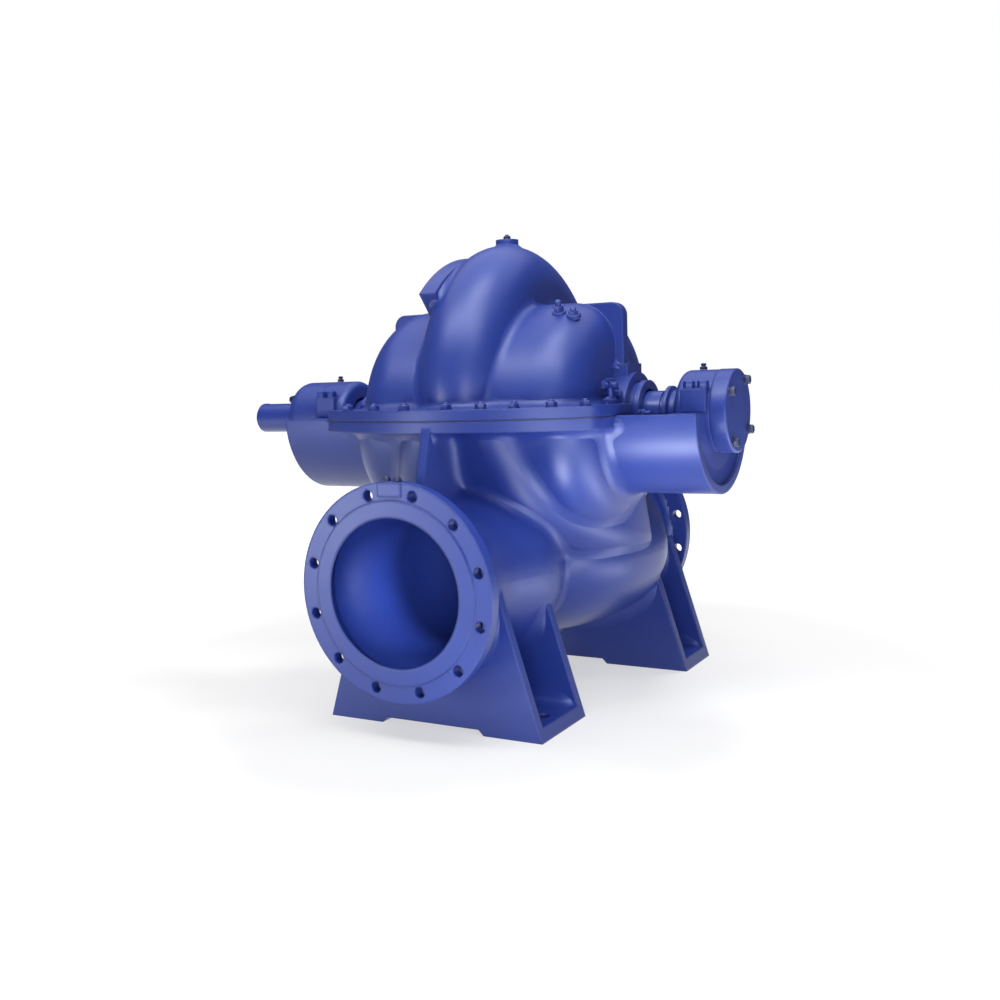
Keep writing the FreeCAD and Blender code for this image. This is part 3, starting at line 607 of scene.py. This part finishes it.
# Sub-assemblies
@dataclass(frozen=True)
class SplitFlange:
    """The outline that both casing halves share at the split, in metres.

    Args:
        half_length: from the volute's plane to either end.
        front_corner: the front edge at the ends.
        front_edge: the front edge in the volute's plane.
        back_corner: the back edge at the ends.
        back_edge: the back edge in the volute's plane.
        level: the height of the split, which is the shaft's too.
        thickness: the upper casing's flange.
        bolt_inset: from the edge to the middle of a nut.
        corner: the radius of the four corners.
        box_gap: from the shaft to where the outline stops.
        corner_steps: how many points stand round a corner.
    """

    half_length: float = 0.335
    front_corner: float = -0.268
    front_edge: float = -0.378
    back_corner: float = 0.300
    back_edge: float = 0.470
    level: float = 0.640
    thickness: float = 0.023
    bolt_inset: float = 0.026
    corner: float = 0.030
    box_gap: float = 0.098
    corner_steps: int = 6

    @property
    def top(self) -> float:
        """The height of the flange's upper side."""
        return self.level + self.thickness

    def edge(self, x: float, corner: float, middle: float) -> float:
        """How far out a bowed edge lies at a place along the shaft.

        Args:
            x: the place.
            corner: how far out it lies at the ends.
            middle: how far out it lies between them.

        Returns:
            Its place across the shaft.
        """
        rise = middle - corner
        radius = (self.half_length ** 2 + rise ** 2) / (2 * abs(rise))
        sag = radius - math.sqrt(radius ** 2 - x ** 2)
        return middle - math.copysign(sag, rise)

    def front(self, x: float) -> float:
        """The front edge at a place along the shaft."""
        return self.edge(x, self.front_corner, self.front_edge)

    def back(self, x: float) -> float:
        """The back edge at a place along the shaft."""
        return self.edge(x, self.back_corner, self.back_edge)

    def outline(self, steps: int = 40) -> list[list[Vector]]:
        """Points along the front and the back edge, as far as the stuffing boxes.

        Args:
            steps: how many stretches each edge has.

        Returns:
            The points of the front path and of the back path.
        """
        reach = self.half_length - self.corner
        stations = [-reach + 2 * reach * index / steps for index in range(steps + 1)]
        front = [Vector((x, self.front(x), self.level)) for x in stations]
        back = [Vector((x, self.back(x), self.level)) for x in stations]
        paths = []
        for edge, inward, gap in ((front, 1, -self.box_gap), (back, -1, self.box_gap)):
            for end, side in ((0, -1), (-1, 1)):
                middle = edge[end] + Vector((0, inward * self.corner, 0))
                pitch = 90 / self.corner_steps
                turns = [math.radians(pitch * (step + 1)) for step in range(self.corner_steps)]
                bend = [middle + Vector((side * math.sin(turn), -inward * math.cos(turn), 0)) * self.corner
                        for turn in turns]
                bend.append(Vector((side * self.half_length, gap, self.level)))
                edge = bend[::-1] + edge if end == 0 else edge + bend
            paths.append(edge)
        return paths


FLANGE = SplitFlange()


@dataclass(frozen=True)
class SplitFlangeNuts:
    """Studs and nuts that hold the upper casing down, all round the split flange, in metres.

    Args:
        nut: the nut on its stud.
        front: places along the front edge.
        back: places along the back edge.
        ends: places across both ends.
        turn: how far each nut is turned from the one before, in radians.
    """

    nut: Fastener = Fastener(across=0.0118, height=0.0085, washer=0.0130, stud=0.0065, stand=0.004)
    front: tuple[float, ...] = (-0.257, -0.161, -0.072, 0.034, 0.110, 0.177, 0.247, 0.306)
    back: tuple[float, ...] = (-0.290, -0.190, -0.085, 0.020, 0.125, 0.220, 0.298)
    ends: tuple[float, ...] = (-0.155, 0.150, 0.225)
    turn: float = 0.4

    def places(self) -> list[tuple[float, float]]:
        """Where the nuts stand, seen from above."""
        spots = [(x, FLANGE.front(x) + FLANGE.bolt_inset) for x in self.front]
        spots += [(x, FLANGE.back(x) - FLANGE.bolt_inset) for x in self.back]
        side = FLANGE.half_length - FLANGE.bolt_inset
        return spots + [(sign * side, y) for sign in ENDS.values() for y in self.ends]

    def build(self) -> None:
        """Make the nuts and studs."""
        piece = Piece("split_flange_nuts")
        for index, (x, y) in enumerate(self.places()):
            self.nut.add(piece, (x, y, FLANGE.top), Axis.Z, turn=self.turn * index)
        piece.build(finishes.get(FINE_BLUE), PUMP)


@dataclass(frozen=True)
class GasketWithSeamShade:
    """The gasket's dark edge between the casing halves, in metres; its near-black colour is partly a real
    dark joint and partly painted shade in the seam.
    """

    half_height: float = 0.0011
    reach: float = 0.0004

    def build(self) -> None:
        """Make the gasket's edge, dark with painted shade in the seam."""
        # A thin near-black strip along the split: the gasket's edge, and painted shade in the seam.
        piece = Piece("split_gasket_seam_shade")
        for path in FLANGE.outline():
            piece.strip(path, self.half_height, self.reach)
        piece.build(finishes.get(SEAM), PUMP)


@dataclass(frozen=True)
class CoverBolts:
    """Bolts round a bearing cover's face.

    Args:
        circle: the radius of the circle that they stand on, in metres.
        first: where the first one stands, in degrees.
        seat: how far behind the face they sit, in metres.
        bolt: the bolt.
        count: how many there are.
        turn: how far each head is turned, in radians.
    """

    circle: float
    first: float
    seat: float = 0.0
    bolt: Fastener = Fastener(across=0.0100, height=0.010, washer=0.0108)
    count: int = 4
    turn: float = 0.2

    def add(self, piece: Piece, tag: str) -> None:
        """Add the bolts of one end's cover."""
        side = ENDS[tag]
        face, axis = outer_face(f"bearing_cover_{tag}", side)
        for index in range(self.count):
            turn = math.radians(self.first + 360 / self.count * index)
            across, up = self.circle * math.cos(turn), self.circle * math.sin(turn)
            self.bolt.add(piece, (face - side * self.seat, across, FLANGE.level + up), axis, self.turn)


@dataclass(frozen=True)
class CapBolts:
    """Pairs of bolts on the shoulders at both sides of a bearing housing, in metres.

    Args:
        bolt: the bolt.
        level: the height of the shoulders.
        shift: how far the pairs stand outside the housing's middle.
        pitch: how far a pair's bolts stand apart.
        reach: how far from the shaft they stand.
        turn: how far each head is turned, in radians.
    """

    bolt: Fastener = Fastener(across=0.0125, height=0.0130, washer=0.0135)
    level: float = 0.690
    shift: float = 0.010
    pitch: float = 0.030
    reach: float = 0.080
    turn: float = 0.3

    def add(self, piece: Piece, tag: str) -> None:
        """Add the bolts of one end's housing."""
        low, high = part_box(f"bearing_housing_{tag}")
        middle = (low.x + high.x) / 2 + ENDS[tag] * self.shift
        for across in (-self.reach, self.reach):
            for along in (-self.pitch / 2, self.pitch / 2):
                self.bolt.add(piece, (middle + along, across, self.level), Axis.Z, self.turn)


@dataclass(frozen=True)
class BearingBolts:
    """Cap bolts on the housings' shoulders and bolts round the covers' faces."""

    caps: CapBolts = CapBolts()
    covers: tuple[tuple[str, CoverBolts], ...] = (
        ("de", CoverBolts(circle=0.066, first=45, seat=0.003)),
        ("nde", CoverBolts(circle=0.077, first=57)),
    )

    def build(self) -> None:
        """Make the bolts of both ends."""
        caps = Piece("housing_cap_bolts")
        covers = Piece("bearing_cover_bolts")
        for tag, bolts in self.covers:
            self.caps.add(caps, tag)
            bolts.add(covers, tag)
        caps.build(finishes.get(FINE_BLUE), PUMP)
        covers.build(finishes.get(FINISHES["dark_fittings"]), PUMP)


@dataclass(frozen=True)
class GlandStuds:
    """Studs and nuts that press each gland into its stuffing box, in metres."""

    nut: Fastener = Fastener(across=0.0088, height=0.010, washer=0.0092, stud=0.005, stand=0.012)
    reach: float = 0.0608

    def build(self) -> None:
        """Make the studs of both ends."""
        piece = Piece("gland_studs")
        for tag, side in ENDS.items():
            face, axis = outer_face(f"gland_{tag}", side)
            for across in (-self.reach, self.reach):
                self.nut.add(piece, (face, across, FLANGE.level), axis)
        piece.build(finishes.get(FINE_BLUE), PUMP)


@dataclass(frozen=True)
class SealCocks:
    """Small cocks beside each stuffing box, for sealing water, in metres.

    Args:
        along: how far from the volute's plane they stand.
        cocks: each cock's place across the shaft and its height over the flange.
        hexagon: the hexagons' radius.
        foot: the lower hexagon's height.
        nut: the upper hexagon's height.
        stem: the stem's radius.
        body: the body's radius and length.
        handle: the handle's radius and length.
        handle_lift: how far the handle stands over the body's middle.
        spindle: the spindle's radius and height.
    """

    along: float = 0.300
    cocks: tuple[tuple[float, float], ...] = ((-0.120, 0.038), (-0.098, 0.020))
    hexagon: float = 0.0125
    foot: float = 0.010
    nut: float = 0.008
    stem: float = 0.0075
    body: tuple[float, float] = (0.0085, 0.034)
    handle: tuple[float, float] = (0.0042, 0.038)
    handle_lift: float = 0.012
    spindle: tuple[float, float] = (0.006, 0.016)

    def add(self, piece: Piece, x: float, y: float, height: float) -> None:
        """Add one cock to a piece.

        Args:
            piece: the piece.
            x: its place along the shaft.
            y: its place across the shaft.
            height: over the flange.
        """
        level = FLANGE.top + height
        stem = pointing((x, y, FLANGE.top), Axis.Z)
        piece.round(self.stem, height, stem, sides=20)
        piece.hexagon(self.hexagon, self.foot, stem)
        body = pointing((x - self.body[1] / 2, y, level), Axis.X)
        piece.round(*self.body, body, ease=0.3, sides=20)
        piece.hexagon(self.hexagon, self.nut, body)
        handle = pointing((x, y - self.handle[1] / 2, level + self.handle_lift), Axis.Y)
        piece.round(*self.handle, handle, ease=0.5, sides=14)
        piece.round(*self.spindle, pointing((x, y, level), Axis.Z), sides=16)

    def build(self) -> None:
        """Make the cocks of both ends."""
        piece = Piece("seal_water_cocks")
        for side in ENDS.values():
            for y, height in self.cocks:
                self.add(piece, side * self.along, y, height)
        piece.build(finishes.get(FINE_BLUE), PUMP)


@dataclass(frozen=True)
class DomeFittings:
    """A tall and a low fitting on the suction dome at the free end, in metres.

    Args:
        slope: which way they point.
        across: their place across the shaft.
        level: how far over the shaft the first one's foot lies.
        fittings: each one's place along the shaft, drop and height.
        foot: the height of the washer under each.
        washer: the washer's radius.
        hexagon: the hexagon's radius.
        pin: the radius of the pin on top.
    """

    slope: tuple[float, float, float] = (0.10, -0.45, 0.89)
    across: float = -0.124
    level: float = 0.2145
    fittings: tuple[tuple[float, float, float], ...] = ((0.188, 0.0, 0.024), (0.222, 0.007, 0.013))
    foot: float = 0.010
    washer: float = 0.0155
    hexagon: float = 0.0120
    pin: float = 0.0070

    def build(self) -> None:
        """Make the fittings."""
        piece = Piece("dome_fittings")
        slope = Vector(self.slope).normalized()
        for x, drop, height in self.fittings:
            base = pointing((x, self.across, FLANGE.level + self.level - drop), slope)
            piece.round(self.washer, self.foot, base)
            piece.hexagon(self.hexagon, self.foot + height / 2, base)
            piece.round(self.pin, self.foot + height, base, ease=0.4, sides=20)
        piece.build(finishes.get(FINE_BLUE), PUMP)


@dataclass(frozen=True)
class GreaseNipples:
    """Grease nipples on top of both bearing housings, in metres.

    Args:
        hexagon: the radius and height of the hexagon at the foot.
        rings: the radius and height of each ring above it.
        mouth: the radius of the tip.
    """

    hexagon: tuple[float, float] = (0.0085, 0.0065)
    rings: tuple[tuple[float, float], ...] = (
        (0.0052, 0.006), (0.0046, 0.0085), (0.0062, 0.0105), (0.0058, 0.0125))
    mouth: float = 0.0030

    def build(self) -> None:
        """Make the nipples of both ends."""
        for tag in ENDS:
            node = f"grease_nipple_{tag}"
            base, _, height = upright(node)
            piece = Piece(f"grease_nipple_head_{tag}")
            piece.hexagon(*self.hexagon, base)
            piece.stack((*self.rings, (self.mouth, height)), 20, base)
            build_in_place_of(node, piece)


@dataclass(frozen=True)
class Plugs:
    """Hexagon heads of the vent plug and of the plugs in the discharge flange's rim.

    Args:
        nodes: the CAD nodes that they stand for.
        turn: how far each head is turned, in radians.
        collar: its height as a share.
        hexagon: its radius and height as shares.
        stub: the stub's radius as a share.
    """

    nodes: tuple[str, ...] = ("vent_plug", "tap_plug_de", "tap_plug_nde")
    turn: float = 0.35
    collar: float = 0.25
    hexagon: tuple[float, float] = (0.92, 0.72)
    stub: float = 0.5

    def build(self) -> None:
        """Make the heads."""
        for node in self.nodes:
            base, radius, height = upright(node, self.turn)
            piece = Piece(f"{node}_head")
            piece.round(radius, height * self.collar, base)
            piece.hexagon(radius * self.hexagon[0], height * self.hexagon[1], base)
            piece.round(radius * self.stub, height, base, ease=0.3)
            build_in_place_of(node, piece)


@dataclass(frozen=True)
class CastFillets:
    """Soft cast fillets in the castings' inner corners.

    A smoothed copy of a casting stands proud of it only in its inner corners, so
    that is all that is kept of it. Lengths are in metres.

    Args:
        grain: the size of the copy's faces.
        rounds: how often the copy is smoothed.
        sink: how far the copy is set back all over.
        least: how proud a patch must stand somewhere to be kept.
        bare: boxes without fillets.
        crisp: boxes in which corners stay crisp.
        crisp_sink: how much further the copy is set back there.
        fade: how far crisp boxes have an effect.
        looks: directions to look out in.
        smoothing: each round's strength.
        search: how far off the casting is looked for.
    """

    grain: float = 0.005
    rounds: dict[str, int] = field(default_factory=lambda: {"lower_casing": 110, "upper_casing": 50})
    sink: float = 0.0004
    least: float = 0.002
    bare: tuple[tuple[tuple[float, float], ...], ...] = (
        ((-1, 1), (-1, -0.490), (0, 2)),
        ((-1, 1), (0.480, 1), (0, 2)),
        ((-1, 1), (-1, 1), (0, 0.0285)),
        ((-1, -0.200), (-0.100, 0.100), (0.540, 0.740)),
        ((0.200, 1), (-0.100, 0.100), (0.540, 0.740)),
    )
    crisp: tuple[tuple[tuple[float, float], ...], ...] = (
        ((-0.300, -0.130), (-0.036, -0.004), (0.780, 1.0)),
        ((0.130, 0.300), (-0.036, -0.004), (0.780, 1.0)),
    )
    crisp_sink: float = 0.014
    fade: float = 0.045
    looks: tuple[tuple[float, float, float], ...] = tuple(
        (x, y, z) for x in (-1, 0, 1) for y in (-0.7, 0, 0.7) for z in (-1, 0, 1)
        if (x or z) and not (x and y and z))
    smoothing: float = 0.5
    search: float = 0.06

    def build(self, node: str, shells: BVHTree) -> None:
        """Add the fillets of one casting.

        Args:
            node: the casting's name.
            shells: both castings' surfaces, for telling inside from outside.
        """
        source = frame["nodes"][node]
        mesh = self.smoothed(source, self.rounds[node])
        surface = self.surface([source])
        for corner in mesh.verts:
            corner.co -= corner.normal * (self.sink + self.crisp_sink * self.crispness(corner.co))
        proud = {}
        for corner in mesh.verts:
            if self.is_bare(corner.co):
                continue
            near, normal, _, reach = surface.find_nearest(corner.co, self.search)
            if near is not None and (corner.co - near).dot(normal) > 0:
                proud[corner] = reach
        kept = self.patches(proud, shells)
        faces = [face for face in mesh.faces if not any(corner in kept for corner in face.verts)]
        bmesh.ops.delete(mesh, geom=faces, context="FACES")
        for face in mesh.faces:
            face.smooth = True
        Piece(f"{node}_fillets", mesh).build(finishes.get(FINISHES["blue_paint"]), PUMP)

    def smoothed(self, source: bpy.types.Object, rounds: int) -> bmesh.types.BMesh:
        """A copy of a casting with even faces, smoothed a number of times.

        Args:
            source: the casting.
            rounds: how often it is smoothed.

        Returns:
            The mesh of the copy.
        """
        copy = bpy.data.objects.new("smoothed", source.data.copy())
        bpy.context.scene.collection.objects.link(copy)
        copy.matrix_world = source.matrix_world
        remesh = copy.modifiers.new("remesh", "REMESH")
        remesh.mode = "VOXEL"
        remesh.voxel_size = self.grain
        smooth = copy.modifiers.new("smooth", "SMOOTH")
        smooth.factor = self.smoothing
        smooth.iterations = rounds
        evaluated = copy.evaluated_get(bpy.context.evaluated_depsgraph_get())
        mesh = bmesh.new()
        mesh.from_mesh(evaluated.to_mesh())
        bpy.data.objects.remove(copy)
        mesh.normal_update()
        return mesh

    @staticmethod
    def surface(things: Iterable[bpy.types.Object]) -> BVHTree:
        """A tree of the faces of some objects."""
        corners: list[Vector] = []
        faces: list[list[int]] = []
        for thing in things:
            start = len(corners)
            corners += [thing.matrix_world @ corner.co for corner in thing.data.vertices]
            faces += [[start + index for index in face.vertices] for face in thing.data.polygons]
        return BVHTree.FromPolygons(corners, faces)

    def crispness(self, place: Vector) -> float:
        """How near a place lies to a crisp box: 1 inside it and 0 beyond its fade."""
        nearest = self.fade
        for box in self.crisp:
            gaps = (max(low - number, number - high, 0.0) for number, (low, high) in zip(place, box))
            nearest = min(nearest, math.hypot(*gaps))
        return 1.0 - nearest / self.fade

    def is_bare(self, place: Vector) -> bool:
        """Whether a place is to stay clear of fillets."""
        return any(all(low < number < high for number, (low, high) in zip(place, box)) for box in self.bare)

    def patches(self, proud: dict[bmesh.types.BMVert, float], shells: BVHTree) -> set[bmesh.types.BMVert]:
        """The corners of patches that stand proud enough and show from outside.

        Args:
            proud: how proud each of the copy's corners stands.
            shells: both castings' surfaces.

        Returns:
            The corners to keep.
        """
        kept: set[bmesh.types.BMVert] = set()
        left = set(proud)
        while left:
            patch = {left.pop()}
            rim = list(patch)
            while rim:
                for edge in rim.pop().link_edges:
                    for corner in edge.verts:
                        if corner in left:
                            left.discard(corner)
                            patch.add(corner)
                            rim.append(corner)
            highest = max(patch, key=lambda corner: proud[corner])
            if proud[highest] > self.least:
                kept |= {corner for corner in patch if self.outside(corner, shells)}
        return kept

    def outside(self, corner: bmesh.types.BMVert, shells: BVHTree) -> bool:
        """Whether a look from a corner gets out past the castings."""
        start = corner.co + corner.normal * self.least
        return any(shells.ray_cast(start, Vector(look))[0] is None for look in self.looks)


# Surroundings
@dataclass(frozen=True)
class Lamp:
    """A soft rectangular lamp that the camera doesn't see.

    Args:
        name: the lamp's name.
        place: where it stands, in metres.
        target: the point that it looks at, in metres.
        size: its width and height, in metres.
        power: its power in watts.
        mirrored: whether reflections show it.
        spread: how wide its beam is, in degrees.
    """

    name: str
    place: tuple[float, float, float]
    target: tuple[float, float, float]
    size: tuple[float, float]
    power: float
    mirrored: bool = True
    spread: float = 180.0

    def build(self) -> None:
        """Make the lamp."""
        data = bpy.data.lights.new(self.name, "AREA")
        data.shape = "RECTANGLE"
        data.size, data.size_y = self.size
        data.energy = self.power
        data.spread = math.radians(self.spread)
        lamp = bpy.data.objects.new(self.name, data)
        lamp.location = self.place
        lamp.rotation_euler = (Vector(self.target) - Vector(self.place)).to_track_quat("-Z", "Y").to_euler()
        lamp.visible_camera = False
        lamp.visible_glossy = self.mirrored
        bpy.context.scene.collection.objects.link(lamp)


PUMP_MIDDLE = (0.0, 0.0, 0.45)


@dataclass(frozen=True)
class Studio:
    """The floor, the light and the world, in metres.

    Args:
        floor_half: half the floor's side.
        floor_colour: what the floor gives back of the light.
        floor_glow: the floor's own light near the pump.
        glow_fade: from where to where it turns white.
        world_light: the world's share of the light.
        flag_distance: from the pump to the dark screen.
        flag_height: how high that screen is.
        flag_sides: how many sides it has.
        flag_colour: its colour.
        lamps: the lamps.
    """

    floor_half: float = 30.0
    floor_colour: Colour = Colour(0.45, 0.45, 0.45)
    floor_glow: float = 0.56
    glow_fade: tuple[float, float] = (1.0, 2.2)
    world_light: float = 0.15
    flag_distance: float = 3.4
    flag_height: float = 3.6
    flag_sides: int = 40
    flag_colour: Colour = Colour(0.15, 0.16, 0.22)
    lamps: tuple[Lamp, ...] = (
        Lamp("key", (0.2, -1.6, 2.8), PUMP_MIDDLE, (4.0, 0.8), 58.0),
        Lamp("top", (0.5, -0.5, 3.0), PUMP_MIDDLE, (1.2, 0.7), 16.0),
        Lamp("back", (0.1, 1.3, 3.4), PUMP_MIDDLE, (0.8, 0.8), 56.0, mirrored=False),
        Lamp("left", (-1.4, -2.2, 0.30), PUMP_MIDDLE, (0.4, 0.5), 12.0),
        Lamp("fill", (1.30, -2.75, 0.55), PUMP_MIDDLE, (0.6, 0.6), 15.0),
        Lamp("front_bounce", (0.34, -0.80, 0.01), (0.34, -0.80, 1.0), (0.5, 0.3), 1.6),
        Lamp("knee_bounce", (1.0, 0.0, 0.01), (1.0, 0.0, 1.0), (0.5, 0.7), 4.6),
        Lamp("side", (1.45, -1.25, 0.16), (0.1, -0.2, 0.5), (1.0, 0.4), 9.0),
        Lamp("bracket", (0.36, -0.43, 0.28), (0.40, -0.16, 0.56), (0.26, 0.12), 0.30, spread=75.0),
        Lamp("bore", (0.11, -0.47, 0.26), (-0.15, -0.30, 0.27), (0.06, 0.04), 0.22, spread=75.0),
    )

    def build(self) -> None:
        """Make the floor, the world, the dark screen and the lamps."""
        self.floor()
        self.world()
        self.flag()
        for lamp in self.lamps:
            lamp.build()

    @staticmethod
    def sheet(name: str, places: Sequence[Vector],
              faces: Sequence[tuple[int, ...]]) -> tuple[bpy.types.Object, Graph]:
        """An object of some faces with a new material, and that material's graph.

        Args:
            name: the name of both.
            places: the corners.
            faces: each face's corners by number.

        Returns:
            The object and the graph.
        """
        data = bpy.data.meshes.new(name)
        data.from_pydata(places, [], faces)
        thing = bpy.data.objects.new(name, data)
        bpy.context.scene.collection.objects.link(thing)
        material, graph = new_material(name)
        data.materials.append(material)
        return thing, graph

    def floor(self) -> None:
        """A white floor that keeps the pump's shadow."""
        half = self.floor_half
        corners = [Vector((x * half, y * half, 0)) for x, y in ((-1, -1), (1, -1), (1, 1), (-1, 1))]
        thing, graph = self.sheet("floor", corners, [(0, 1, 2, 3)])
        place = graph.node("TexCoord", output="Object")
        away = graph.node("VectorMath", {0: place}, output="Value", operation="LENGTH")
        far = graph.spread(away, *self.glow_fade, 0.0, 1.0)
        seen = self.seen(graph)
        strength = seen * (self.floor_glow + far * (1.0 - self.floor_glow))
        glow = graph.node("Emission", {"Strength": strength})
        diffuse = graph.node("BsdfDiffuse", {"Color": self.floor_colour.rgba})
        surface = graph.node("AddShader", {0: diffuse, 1: glow})
        graph.node("OutputMaterial", {"Surface": surface})
        thing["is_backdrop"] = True

    @staticmethod
    def seen(graph: Graph) -> Value:
        """1 where the camera, a reflection or glass sees a surface, and 0 for the light that it gives."""
        paths = [graph.node("LightPath", output=name) for name in
                 ("Is Camera Ray", "Is Glossy Ray", "Is Transmission Ray")]
        return graph.sum(Operation.MULTIPLY, paths[0] + paths[1] + paths[2], 1.0, clamp=True)

    def world(self) -> None:
        """A world that is white to look at and plain as light."""
        world = bpy.data.worlds.new("studio")
        bpy.context.scene.world = world
        world.use_nodes = True
        graph = Graph(world.node_tree)
        strength = self.seen(graph) * (1.0 - self.world_light) + self.world_light
        background = graph.node("Background", {"Color": (1, 1, 1, 1), "Strength": strength})
        graph.node("OutputWorld", {"Surface": background})

    def flag(self) -> None:
        """A dark screen all round that only reflections see, so that the paint keeps its depth."""
        steps = self.flag_sides
        turns = [2 * math.pi * step / steps for step in range(steps)]
        feet = [Vector((math.cos(turn), math.sin(turn), 0)) * self.flag_distance for turn in turns]
        places = feet + [foot + Vector((0, 0, self.flag_height)) for foot in feet]
        pairs = [(step, (step + 1) % steps) for step in range(steps)]
        faces = [(here, there, steps + there, steps + here) for here, there in pairs]
        thing, graph = self.sheet("flag", places, faces)
        for ray in ("camera", "diffuse", "transmission", "shadow", "volume_scatter"):
            setattr(thing, f"visible_{ray}", False)
        diffuse = graph.node("BsdfDiffuse", {"Color": self.flag_colour.rgba})
        graph.node("OutputMaterial", {"Surface": diffuse})
        thing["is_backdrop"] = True


@dataclass(frozen=True)
class Viewpoint:
    """The photograph's camera, fitted to both flanges.

    Args:
        place: where it stands, in metres.
        yaw: its turn to the left, in degrees.
        pitch: how far it looks down, in degrees.
        roll: how far it leans, in degrees.
        lens: its focal length in millimetres.
        sensor: its sensor's width in millimetres.
        sight: how far it sees, in metres.
    """

    place: tuple[float, float, float] = (1.2413, -2.3238, 0.7194)
    yaw: float = 28.873
    pitch: float = 6.073
    roll: float = -1.812
    lens: float = 40.49
    sensor: float = 36.0
    sight: float = 100.0

    def build(self) -> None:
        """Make the camera."""
        yaw, pitch, roll = (math.radians(angle) for angle in (self.yaw, self.pitch, self.roll))
        level = Vector((-math.sin(yaw), math.cos(yaw), 0))
        side = Vector((math.cos(yaw), math.sin(yaw), 0))
        ahead = level * math.cos(pitch) - Vector((0, 0, 1)) * math.sin(pitch)
        above = Vector((0, 0, 1)) * math.cos(pitch) + level * math.sin(pitch)
        right = side * math.cos(roll) + above * math.sin(roll)
        up = above * math.cos(roll) - side * math.sin(roll)
        data = bpy.data.cameras.new("camera")
        data.lens = self.lens
        data.sensor_width = self.sensor
        data.clip_end = self.sight
        camera = bpy.data.objects.new("camera", data)
        turned = Matrix((right, up, -ahead)).transposed().to_4x4()
        camera.matrix_world = Matrix.Translation(Vector(self.place)) @ turned
        bpy.context.scene.collection.objects.link(camera)
        bpy.context.scene.camera = camera


def corners(bounds: Iterable[Vector]) -> list[list[float]]:
    """Bounds as plain lists."""
    return [[float(number) for number in corner] for corner in bounds]


def main() -> None:
    """Dress the pump, light it and set the camera."""
    logging.basicConfig(level=logging.INFO, format="%(message)s")
    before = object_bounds()
    slots = {part["node"]: part["material_slot"] for part in frame["record"]["subparts"]}
    finishes.dress(frame["nodes"], slots)
    fillets = CastFillets()
    castings = ("lower_casing", "upper_casing")
    shells = fillets.surface(frame["nodes"][node] for node in castings)
    for node in castings:
        fillets.build(node, shells)
    for fittings in (SplitFlangeNuts, GasketWithSeamShade, BearingBolts, GlandStuds, SealCocks, DomeFittings,
                     GreaseNipples, Plugs):
        fittings().build()
    Studio().build()
    Viewpoint().build()
    bpy.context.scene.view_settings.view_transform = "Standard"
    bpy.context.scene.unit_settings.system = "METRIC"
    {"before": corners(before), "after": corners(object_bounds())}


if __name__ == "__main__":
    main()
